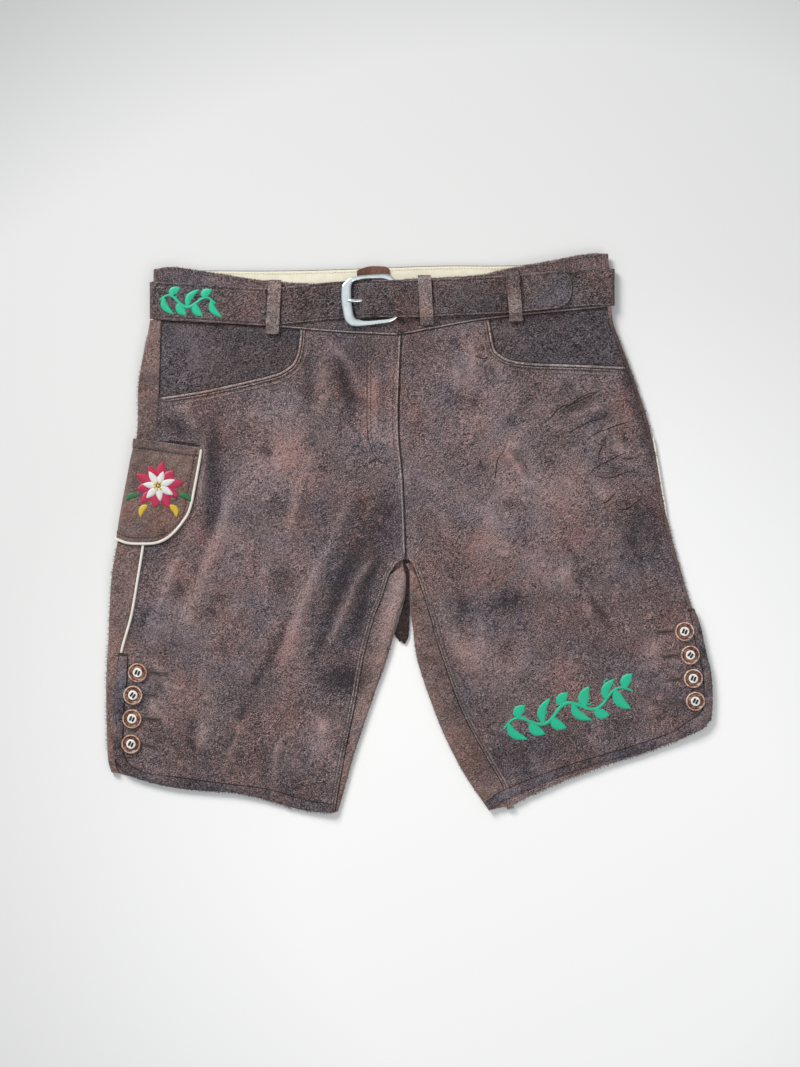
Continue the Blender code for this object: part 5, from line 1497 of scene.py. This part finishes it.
def fuzz():
    """Loose fibres of nap along the raw edges."""
    random = np.random.default_rng(11)
    starts, ends = [], []

    def grow(path, height, out_side, count, reach):
        at = np.sort(random.uniform(0.005, 0.995, count))
        base, after = along(path, at), along(path, np.clip(at + 0.002, 0, 1))
        tangent = unit(after - base)
        normal = stack(-tangent[:, 1], tangent[:, 0]) * out_side
        push = random.uniform(0.25, reach, count)[:, None]
        slide = random.normal(0, 0.7, count)[:, None]
        start = base - normal * 0.5
        end = base + normal * push + tangent * slide
        level = height(start[:, 0], start[:, 1])
        starts.append(np.column_stack([start, level - 0.1]))
        ends.append(np.column_stack([end, np.maximum(0.4, level + random.uniform(-1.0, 0.7, count))]))

    for leg in LEGS:
        right = leg.side < 0
        low_y = leg.outer_y(1.0), leg.inner_y(1.0)
        s = np.linspace(0.01, 0.99, 120)
        x = mix(leg.side_x(low_y[0]), leg.inner_x(low_y[1]), s)
        grow(stack(x, mix(*low_y, s) + curve(leg.hem, x)), front_z, leg.side, 480, 2.6)
        side_y = np.linspace(200, -224 if right else -166, 200)
        grow(along_y(leg.outer, side_y), level_at(4), leg.side, 460, 2.4)
        grow(along_y(leg.fold, np.linspace(-62, -262, 100)), level_at(4), -leg.side, 200, 1.3)
        grow(leg.scoop_path(), front_z, -leg.side, 300, 1.0)
        grow(along_x(leg.rim, np.linspace(*((-240, -10) if right else (-5, 190)), 80)), band_z, 1, 420, 1.3)
    grid, faces = capsules(np.vstack(starts), np.vstack(ends), 0.17, 0.0, 3)
    finish_piece(make_mesh("edge_fibres", grid, faces, THREAD_NAP), "suede_front")


# ---------------------------------------------------------------- embroidery

def satin(build, path, width, height, slot, dome=0.8, lift=0.1):
    """Raised band of satin stitch along a plan path; width is a function of the fraction."""
    count = max(8, int(lengths(path)[-1] / 0.33))
    t = np.linspace(0, 1, count)
    middle = along(path, t)
    tangent = unit(np.gradient(middle, axis=0))
    half = np.maximum(np.array([width(v) for v in t]) / 2, 0.12)
    strand = np.arange(count) % 3 == 0      # the furrow between two strands
    half = half * (1 + 0.05 * np.where(strand, 1, -0.5))
    across = np.linspace(-1, 1, 9)
    x = middle[:, :1] - tangent[:, 1:] * half[:, None] * across
    y = middle[:, 1:] + tangent[:, :1] * half[:, None] * across
    ridge = 0.10 * np.where(strand, -1.0, 0.5)[:, None]
    crown = (1 - across[None, :] ** 2) ** 0.6 * np.minimum(dome, half * 0.55)[:, None]
    z = height(x, y) + lift - 0.25 * (np.abs(across) > 0.99) + crown + ridge * (1 - across[None, :] ** 4)
    build.grid(stack(x, y, z), slot, flip=True)


def leaf_width(size):
    return lambda t: size * math.sin(math.pi * min(1, max(0, t)) ** 0.8) ** 0.8


def toward(degrees):
    """Unit vector of the plan."""
    a = math.radians(degrees)
    return np.array([math.cos(a), math.sin(a)])


def vine(build, origin, turn, span, tall, height, waves, stem):
    """Running stem with leaves and tendrils to either side."""
    right = toward(turn)
    up = np.array([-right[1], right[0]])
    swing = tall * 0.20

    def stitch(path, width, *dome):
        path = np.asarray(path, float)
        satin(build, np.asarray(origin) + path[:, :1] * right + path[:, 1:] * up, width, height, 0, *dome)

    x = np.linspace(-span / 2, span / 2, 160)
    stitch(stack(x, swing * np.sin((x / span + 0.5) * waves * math.tau)),
           lambda t: stem * (0.55 + 0.45 * math.sin(math.pi * t)))
    steps = int(waves * 5)
    for k in range(steps):
        t = (k + 0.5) / steps
        bx = -span / 2 + span * t
        by = swing * math.sin(t * waves * math.tau)
        side = 1 if k % 2 else -1
        reach = tall * 0.5 - side * by
        lean, broad = (0.30, 0.32) if k % 3 else (0.42, 0.26)
        middle = (bx + tall * lean * 0.15, by + side * reach * 0.55)
        tip = (bx + tall * lean, by + side * reach)
        stitch(smooth_path([(bx, by), middle, tip], 10), leaf_width(tall * broad))
        if k and k % 2 == 0:
            a = np.linspace(0, 1.6 * math.pi, 30)
            radius = tall * 0.115 * (1 - a / 8)
            curl = stack(bx - tall * 0.16 + radius * np.cos(a + 1),
                         by - side * tall * 0.24 + radius * np.sin(a + 1))
            stitch(curl, lambda t: 1.5, 0.5)


def pocket_z(x, y):
    """Height of the patch pocket's face over the plan, on the front side of the fold."""
    x, y = np.broadcast_arrays(np.asarray(x, float), np.asarray(y, float))
    fold = curve(OUTER_RIGHT, y)
    radius = RIGHT.fold_radius(y)
    lift = LEATHER + POCKET_CLEAR + 0.8
    flat = front_z(np.maximum(x, fold + radius), y, False) + lift
    reach = radius + lift
    offset = np.clip((fold + radius - x) / reach, 0, 0.999)
    curved = under(fold, y) + radius + reach * np.sqrt(1 - offset ** 2)
    return np.where(x > fold + radius, flat, curved)


def embroidery():
    sprays = (("leg_embroidery", "suede_front", (159.3, -176.8), 16.5, 134, 34, front_z, 2.5, 3.8),
              ("belt_embroidery", "belt_suede", (-221, 230.4), -3.5, 56, 27, strap_z, 1.5, 3.2))
    for name, slot, *spray in sprays:
        made = Build()
        vine(made, *spray)
        finish_piece(made.done(name, [THREAD_GREEN]), slot)
    red, white, yellow, green = range(4)
    flower = Build()
    centre = np.array((-250.0, 47.0))
    for k in range(10):
        d = toward(36 * k + 8)
        petal = [centre + d * 7, centre + d * (22 if k % 2 else 25)]
        satin(flower, petal, leaf_width(10.5), pocket_z, red, 0.9)
    for k in range(7):
        d = toward(360 / 7 * k + 20)
        petal = [centre + d * 2, centre + d * (15.5 if k % 2 else 17.5)]
        satin(flower, petal, leaf_width(7.6), pocket_z, white, 1.2, 0.6)
    for k in range(7):
        spot = centre + toward(360 / 7 * k) * (3.8 if k else 0)
        satin(flower, [spot - [1.6, 0], spot + [1.6, 0]], leaf_width(3.4), pocket_z, yellow, 1.4, 1.2)
    for sign, lean in ((-1, 205), (1, -25), (1, -60), (-1, 240)):
        d = toward(lean)
        start = centre + d * 22
        bend = start + d * 7 + np.array([-d[1], d[0]]) * 2.5 * sign
        satin(flower, smooth_path([start, bend, start + d * 14], 10), leaf_width(6.5), pocket_z,
              yellow if abs(d[1]) > 0.7 else green, 0.8)
    finish_piece(flower.done("pocket_embroidery", [THREAD_RED, THREAD_WHITE, THREAD_YELLOW, THREAD_LEAF]),
                 "suede_front")


# ---------------------------------------------------------------- turned hems, lips and painted shade in the grooves

# Turned hem that runs down each vent and along the bottom: outer edge and seam line
HEM_OUTER = {
    -1: [(-290.5, -123), (-291.3, -143), (-293.7, -168), (-295.1, -193), (-295.1, -215), (-290.8, -230.4),
         (-284, -239), (-261.2, -248.6), (-225, -255.8), (-166, -261), (-107, -275.4), (-77, -280)],
    1: [(284.7, -76), (290.8, -92.5), (294.9, -111), (297.9, -124), (301, -136.4), (303, -159), (302.5, -182),
        (299, -189.4), (290.3, -197.4), (247.4, -214.3), (193.9, -228.6), (143.9, -245.6), (98.3, -265.2),
        (79.6, -277)]}
HEM_INNER = {
    -1: [(-281.5, -123.3), (-282.2, -145), (-285.1, -170), (-286, -198), (-286.5, -217), (-280.3, -230.4),
         (-270.7, -237), (-259.3, -241), (-229, -244.8), (-202, -248.6), (-141.1, -256.6), (-107.2, -266.5),
         (-75.1, -271.8)],
    1: [(281.7, -79), (283.7, -91.5), (286.7, -110), (291.8, -128), (294.9, -145.6), (294.9, -172),
        (289.8, -181.3), (276.5, -190.5), (259.9, -200.9), (211.7, -217), (158, -233), (97.4, -256.3),
        (76, -270.6)]}


def hem_bands():
    for leg in LEGS:
        rows = np.linspace(0, 1, 260)
        a, b = along(smooth_path(HEM_OUTER[leg.side]), rows), along(smooth_path(HEM_INNER[leg.side]), rows)
        t = np.array([0, 0.06, 0.18, 0.34, 0.5, 0.66, 0.80, 0.92, 0.98])
        x, y = mix(a[:, :1], b[:, :1], t), mix(a[:, 1:], b[:, 1:], t)
        push = 0.8 * ripple(x[:, :1], y[:, :1], 1.9, 31.0) * (1 - t)
        x, y = x + push * leg.side, y - push
        rise = 0.15 + 1.25 * np.sin(math.pi * np.clip(t * 0.80 + 0.06, 0, 1)) ** 0.5
        z = front_z(x, y) + rise + 0.25 * ripple(x, y, 4, 17.0)
        obj = shell(f"hem_{leg.label}_turned", x, y, z, HEM_WALL, HEM_SUEDE, flip=leg.side < 0,
                    rim=0.3)
        vent = ease((y + 215) / 40) * (leg.side < 0)
        paint(obj, 0.12 * vent, 0.1 + 0.5 * vent)
        finish_piece(obj, "suede_front")


def cord_on(build, path, radius, height, slot, lift=0.0, flat=0.7, sides=6, shift=0.0):
    """Thin cord laid along a path; height gives the surface's level under a plan path."""
    path = offset_path(along(path, np.linspace(0, 1, max(6, int(lengths(path)[-1] / 1.6)))), shift)
    if height:
        path = on_surface(path, height, lift)
    build.grid(tube_grid(path, radius, sides, flat), slot, wrap=True)


# Sharp cracks in the nap over the left hip and thigh
CRACKS = [[(132, 108), (142, 116), (152, 126), (163, 129), (174, 134), (187, 140)],
          [(152, 123), (161, 128), (174, 137), (191, 142)],
          [(149, 103), (159, 101), (170, 106), (183, 112), (194, 114)],
          [(177, 93), (187, 100), (196, 103), (209, 108), (221, 111)],
          [(185, 92), (195, 87), (196, 93), (197, 98)],
          [(180, 58), (187, 66), (196, 70), (207, 76), (218, 81)],
          [(189, 70), (190, 80), (194, 87)], [(209, 76), (218, 74), (228, 76)],
          [(187, 57), (202, 55), (218, 61), (228, 60)], [(207, 23), (218, 24), (226, 30), (232, 33)],
          [(95, 82), (89, 74), (87, 63), (86, 54)], [(152, 164), (163, 165), (172, 163), (182, 161)],
          [(65, 177), (74, 174), (80, 176)], [(192, 29), (200, 33), (207, 41)]]


def worn_edges_and_shade():
    """Pale worn lips of the folded edges, and near black cords of painted shade in the grooves, seams and
    cracks beside them.
    """
    pale, groove, ridge = range(3)
    made = Build()

    def cord(path, radius, slot, lift, flat, shift=0.0, sides=6, height=front_z):
        cord_on(made, path, radius, height, slot, lift, flat, sides, shift)

    # Along each leg the cords in the groove slot are painted shade; the pale ones are worn lips and ridges
    for leg in LEGS:
        turn = leg.side
        scoop = leg.scoop_path()
        cord(scoop, 1.15, pale, 0.15, 0.7, turn * 0.7, 8)
        cord(scoop, 0.7, groove, -0.5, 0.8, -turn * 0.9)
        cord(scoop[1:], 0.45, groove, 0.30, 0.7, turn * 2.2)
        cord(scoop[1:], 0.75, ridge, 0.25, 0.7, turn * 3.7)
        cord(scoop[1:], 0.75, ridge, 0.05, 0.6, turn * 8.0)
        seam = along_x(leg.seam_front, np.linspace(*((-248, -11) if turn < 0 else (-5, 193)), 90))
        cord(seam, 0.7, pale, 0.05, 0.6, 0.9, height=band_z)
        cord(seam, 0.5, groove, 0.25, 0.7, -0.6)
        inseam = leg.inseam_path(-27)
        cord(inseam, 0.55, groove, 0.05, 0.6)
        cord(inseam, 0.75, ridge, 0.15, 0.6, turn * 1.4)
        cord(inseam, 0.75, ridge, 0.1, 0.6, turn * 4.2)
        inner = smooth_path(HEM_INNER[turn], 6)
        cord(inner, 0.75, groove, 0.55, 0.8, -turn * 0.2)
        cord(inner, 0.7, ridge, 0.15, 0.5, turn * 1.6)
    # painted shade along the J-stitch
    cord(smooth_path(JSTITCH, 6), 0.5, groove, -0.05, 0.6)
    # painted shade in the cracks
    for crack in CRACKS:
        cord(smooth_path(crack, 5), lambda t: 0.28 + 0.3 * math.sin(math.pi * t), groove, 0.15, 0.5)
    # painted shadow beside the fly's edge, and its pale worn lip
    fly_y = np.linspace(197, -24, 120)
    cord(along_y(FLY, fly_y, 0.7), 0.6, groove, 0.0, 0.6)
    cord(along_y(FLY, fly_y, -1.3), 0.85, pale, 0.75, 0.6)
    # painted shade along the side seam above the pocket, beside the piping and down the vent
    cord(along_y(SEAM_RIGHT, np.linspace(206, 92, 70)), 0.5, groove, -0.3, 0.7)
    cord(along_y(SEAM_RIGHT, np.linspace(-12, -120, 70), 1.6), 0.5, groove, 0.0, 0.7)
    cord(along_y(SEAM_RIGHT, np.linspace(-124, -222, 60), -2.2), 0.7, groove, -0.9, 0.7)
    # painted shadow beside the pocket's piping
    cord(pocket_edge(-2.7, -14, -1.6), 0.7, groove, 0, 0.8, height=None)
    u = np.linspace(POCKET_U[0], -14, 60)
    cord(pocket_point(u, pocket_high(u) - 0.5, 0.25), 0.75, ridge, 0, 0.7, height=None)
    finish_piece(made.done("worn_edges_and_shade", [EDGE_SUEDE, PAINTED_GROOVE_SHADE, RIDGE_SUEDE]), "suede_front")


def pocket_mouth_shade():
    """Strip of painted shade behind the side pocket's top edge, which stands open a little."""
    made = Build()
    u = np.linspace(66, 18, 50)[None, :]
    t = np.linspace(0, 1, 6)[:, None]
    wide = 3.4 * ease((u - 18) / 26) * (1 - 0.25 * ease((u - 58) / 8))
    x, y, z = around(RIGHT, u + 0 * t, pocket_high(u) - 1 + t * (wide + 1), 0.35)
    made.grid(stack(x, y, z + 0.5 * (1 - t)))
    finish_piece(made.done("pocket_mouth_shade", [PAINTED_GROOVE_SHADE]), "suede_front")


def belt_rims_and_shade():
    """Worn rims of the strap and its loops, and dark cords of painted shade round the holes and the strap's
    tip, inside the buckle's frame and beside the loops.
    """
    edge, ridge, dark = range(3)
    made = Build()
    half = BELT_WIDTH / 2
    x = np.linspace(-253, 150, 240)
    for sign in (-1, 1):
        cord_on(made, along_x(BELT_FRONT, x, sign * (half - 0.35)), 0.62, strap_z, edge, -0.35, 0.8)
        cord_on(made, along_x(BELT_FRONT, x, sign * (half - 3.4)), 0.5, strap_z, edge, -0.25, 0.5)
    lower_face = BELT_INSIDE + BELT
    for sign in (-1, 1):
        cord_on(made, along_x(BELT_FRONT, np.linspace(165, 199, 30), sign * (half - 0.35)), 0.62,
                level_at(lower_face), edge, -0.3, 0.8)
    across = np.linspace(-1, 1, 60)
    tip = stack(tip_end(across) - 0.4, curve(BELT_FRONT, 158) + across * (half * 0.94 - 0.3))
    cord_on(made, tip, 0.7, strap_z, edge, -0.3, 0.8)
    # painted shadow round the strap's tip, on the strap below it
    outside = tip + 0.9 * stack(np.cos(across * 1.4), np.sin(across * 1.4))
    cord_on(made, outside, 0.6, level_at(lower_face + 0.1), dark, 0, 0.7)
    # painted shade round each hole
    a = np.linspace(0, math.tau, 16)
    for hole_x, hole_y in HOLES:
        ring = stack(hole_x + 1.25 * np.cos(a), hole_y + 1.25 * np.sin(a))
        cord_on(made, ring, 0.65, strap_z, dark, -0.25, 0.7)
    # painted shadow along the inside of the buckle's frame
    for within in ([(-36, 252.0), (-53.5, 250.2), (-56.2, 245.5), (-56.0, 233.8)],
                   [(-55.9, 229.2), (-53.8, 217.4), (-50.6, 213.9), (-30, 214.8)]):
        cord_on(made, smooth_path(within, 4), 1.1, strap_z, dark, 0.1, 0.8)
    for number, (x_top, _, x_low, _, _) in enumerate(FRONT_LOOPS):
        for s in (-0.95, 0.95):
            cord_on(made, loop_line(number, s, 0.96, -0.05), 0.6, None, ridge, 0, 0.8)
        # painted shadow beside each loop
        for s in (-1, 1):
            x = (x_top + x_low) / 2 + s * (LOOP_WIDTH / 2 + 0.5)
            beside = stack(x, float(curve(BELT_FRONT, x)) + np.linspace(-half, half, 24))
            cord_on(made, beside, 0.7, strap_z, dark, -0.1, 0.6)
    finish_piece(made.done("belt_rims_and_shade", [BELT_EDGE, RIDGE_SUEDE, PAINTED_GROOVE_SHADE]), "belt_suede")


# ---------------------------------------------------------------- the garment

for wearer_leg in LEGS:
    front_panel(wearer_leg)
    back_panel(wearer_leg)
    facing(wearer_leg)
for build_part in (waistbands, waistband_back, lining, hanger_tab, crotch_tab, belt, buckle):
    build_part()
for which in range(len(FRONT_LOOPS)):
    front_loop(which)
for which in range(len(BACK_LOOPS)):
    back_loop(which)
for build_part in (side_pocket, pipings, buttons, hem_bands, worn_edges_and_shade, pocket_mouth_shade, belt_rims_and_shade, topstitches,
                   belt_stitches, fuzz, embroidery):
    build_part()

# ---------------------------------------------------------------- floor, light and camera

bpy.ops.mesh.primitive_plane_add(size=14, location=(0, 0, -0.0002))
floor = bpy.context.object
floor.name = "floor"
# The floor's colour is a painted pool of light: pale round a point below the garment and darker further away
paper = material("floor_painted_light_pool")
far = paper.vector("SUBTRACT", paper.place(), (140.0, -330.0, 0.0))
far = paper.spread(paper.vector("LENGTH", far, output="Value"), 250, 1150)
LIGHT_POOL = [(0.0, (0.95, 0.95, 0.94)), (0.16, (0.88, 0.88, 0.875)), (0.40, (0.74, 0.74, 0.735)),
         (0.63, (0.68, 0.68, 0.68)), (0.86, (0.43, 0.44, 0.44)), (1.0, (0.35, 0.36, 0.36))]
floor.data.materials.append(paper.done(paper.ramp(far, LIGHT_POOL), 0.9, Specular_IOR_Level=0.1))

sky = Nodes(bpy.data.worlds.new("studio"))
direction = sky.add("ShaderNodeTexCoord").outputs["Generated"]
rise = sky.add("ShaderNodeSeparateXYZ", {0: direction}).outputs["Z"]
sky.feed(sky.tree.nodes["Background"], {
    "Color": sky.ramp(rise, [(0.0, (0.22, 0.23, 0.25)), (0.55, (0.96, 0.98, 1.0))]),
    "Strength": sky.spread(rise, 0.84, 0.97, 0.38, 0.86)})
bpy.context.scene.world = sky.owner
bpy.context.scene.view_settings.view_transform = "Standard"


def lamp(name, place, aim, size, watts, colour=(1, 1, 1)):
    data = bpy.data.lights.new(name, "AREA")
    data.size = size
    data.energy = watts
    data.color = colour
    obj = bpy.data.objects.new(name, data)
    obj.location = place
    obj.rotation_euler = (Vector(aim) - Vector(place)).to_track_quat("-Z", "Y").to_euler()
    bpy.context.scene.collection.objects.link(obj)


lamp("key", (-1.5, 2.1, 2.1), (0, 0, 0), 1.3, 96, (1.0, 0.99, 0.97))
lamp("fill", (1.6, -1.4, 2.4), (0, 0, 0), 1.6, 16, (0.96, 0.98, 1.0))

eye = bpy.data.cameras.new("camera")
eye.lens = 84.2
eye.sensor_width = 36
eye.clip_end = 50
camera = bpy.data.objects.new("camera", eye)
camera.location = (-0.009, -0.0005, 2.5)
bpy.context.scene.collection.objects.link(camera)
bpy.context.scene.camera = camera

bpy.context.view_layer.update()
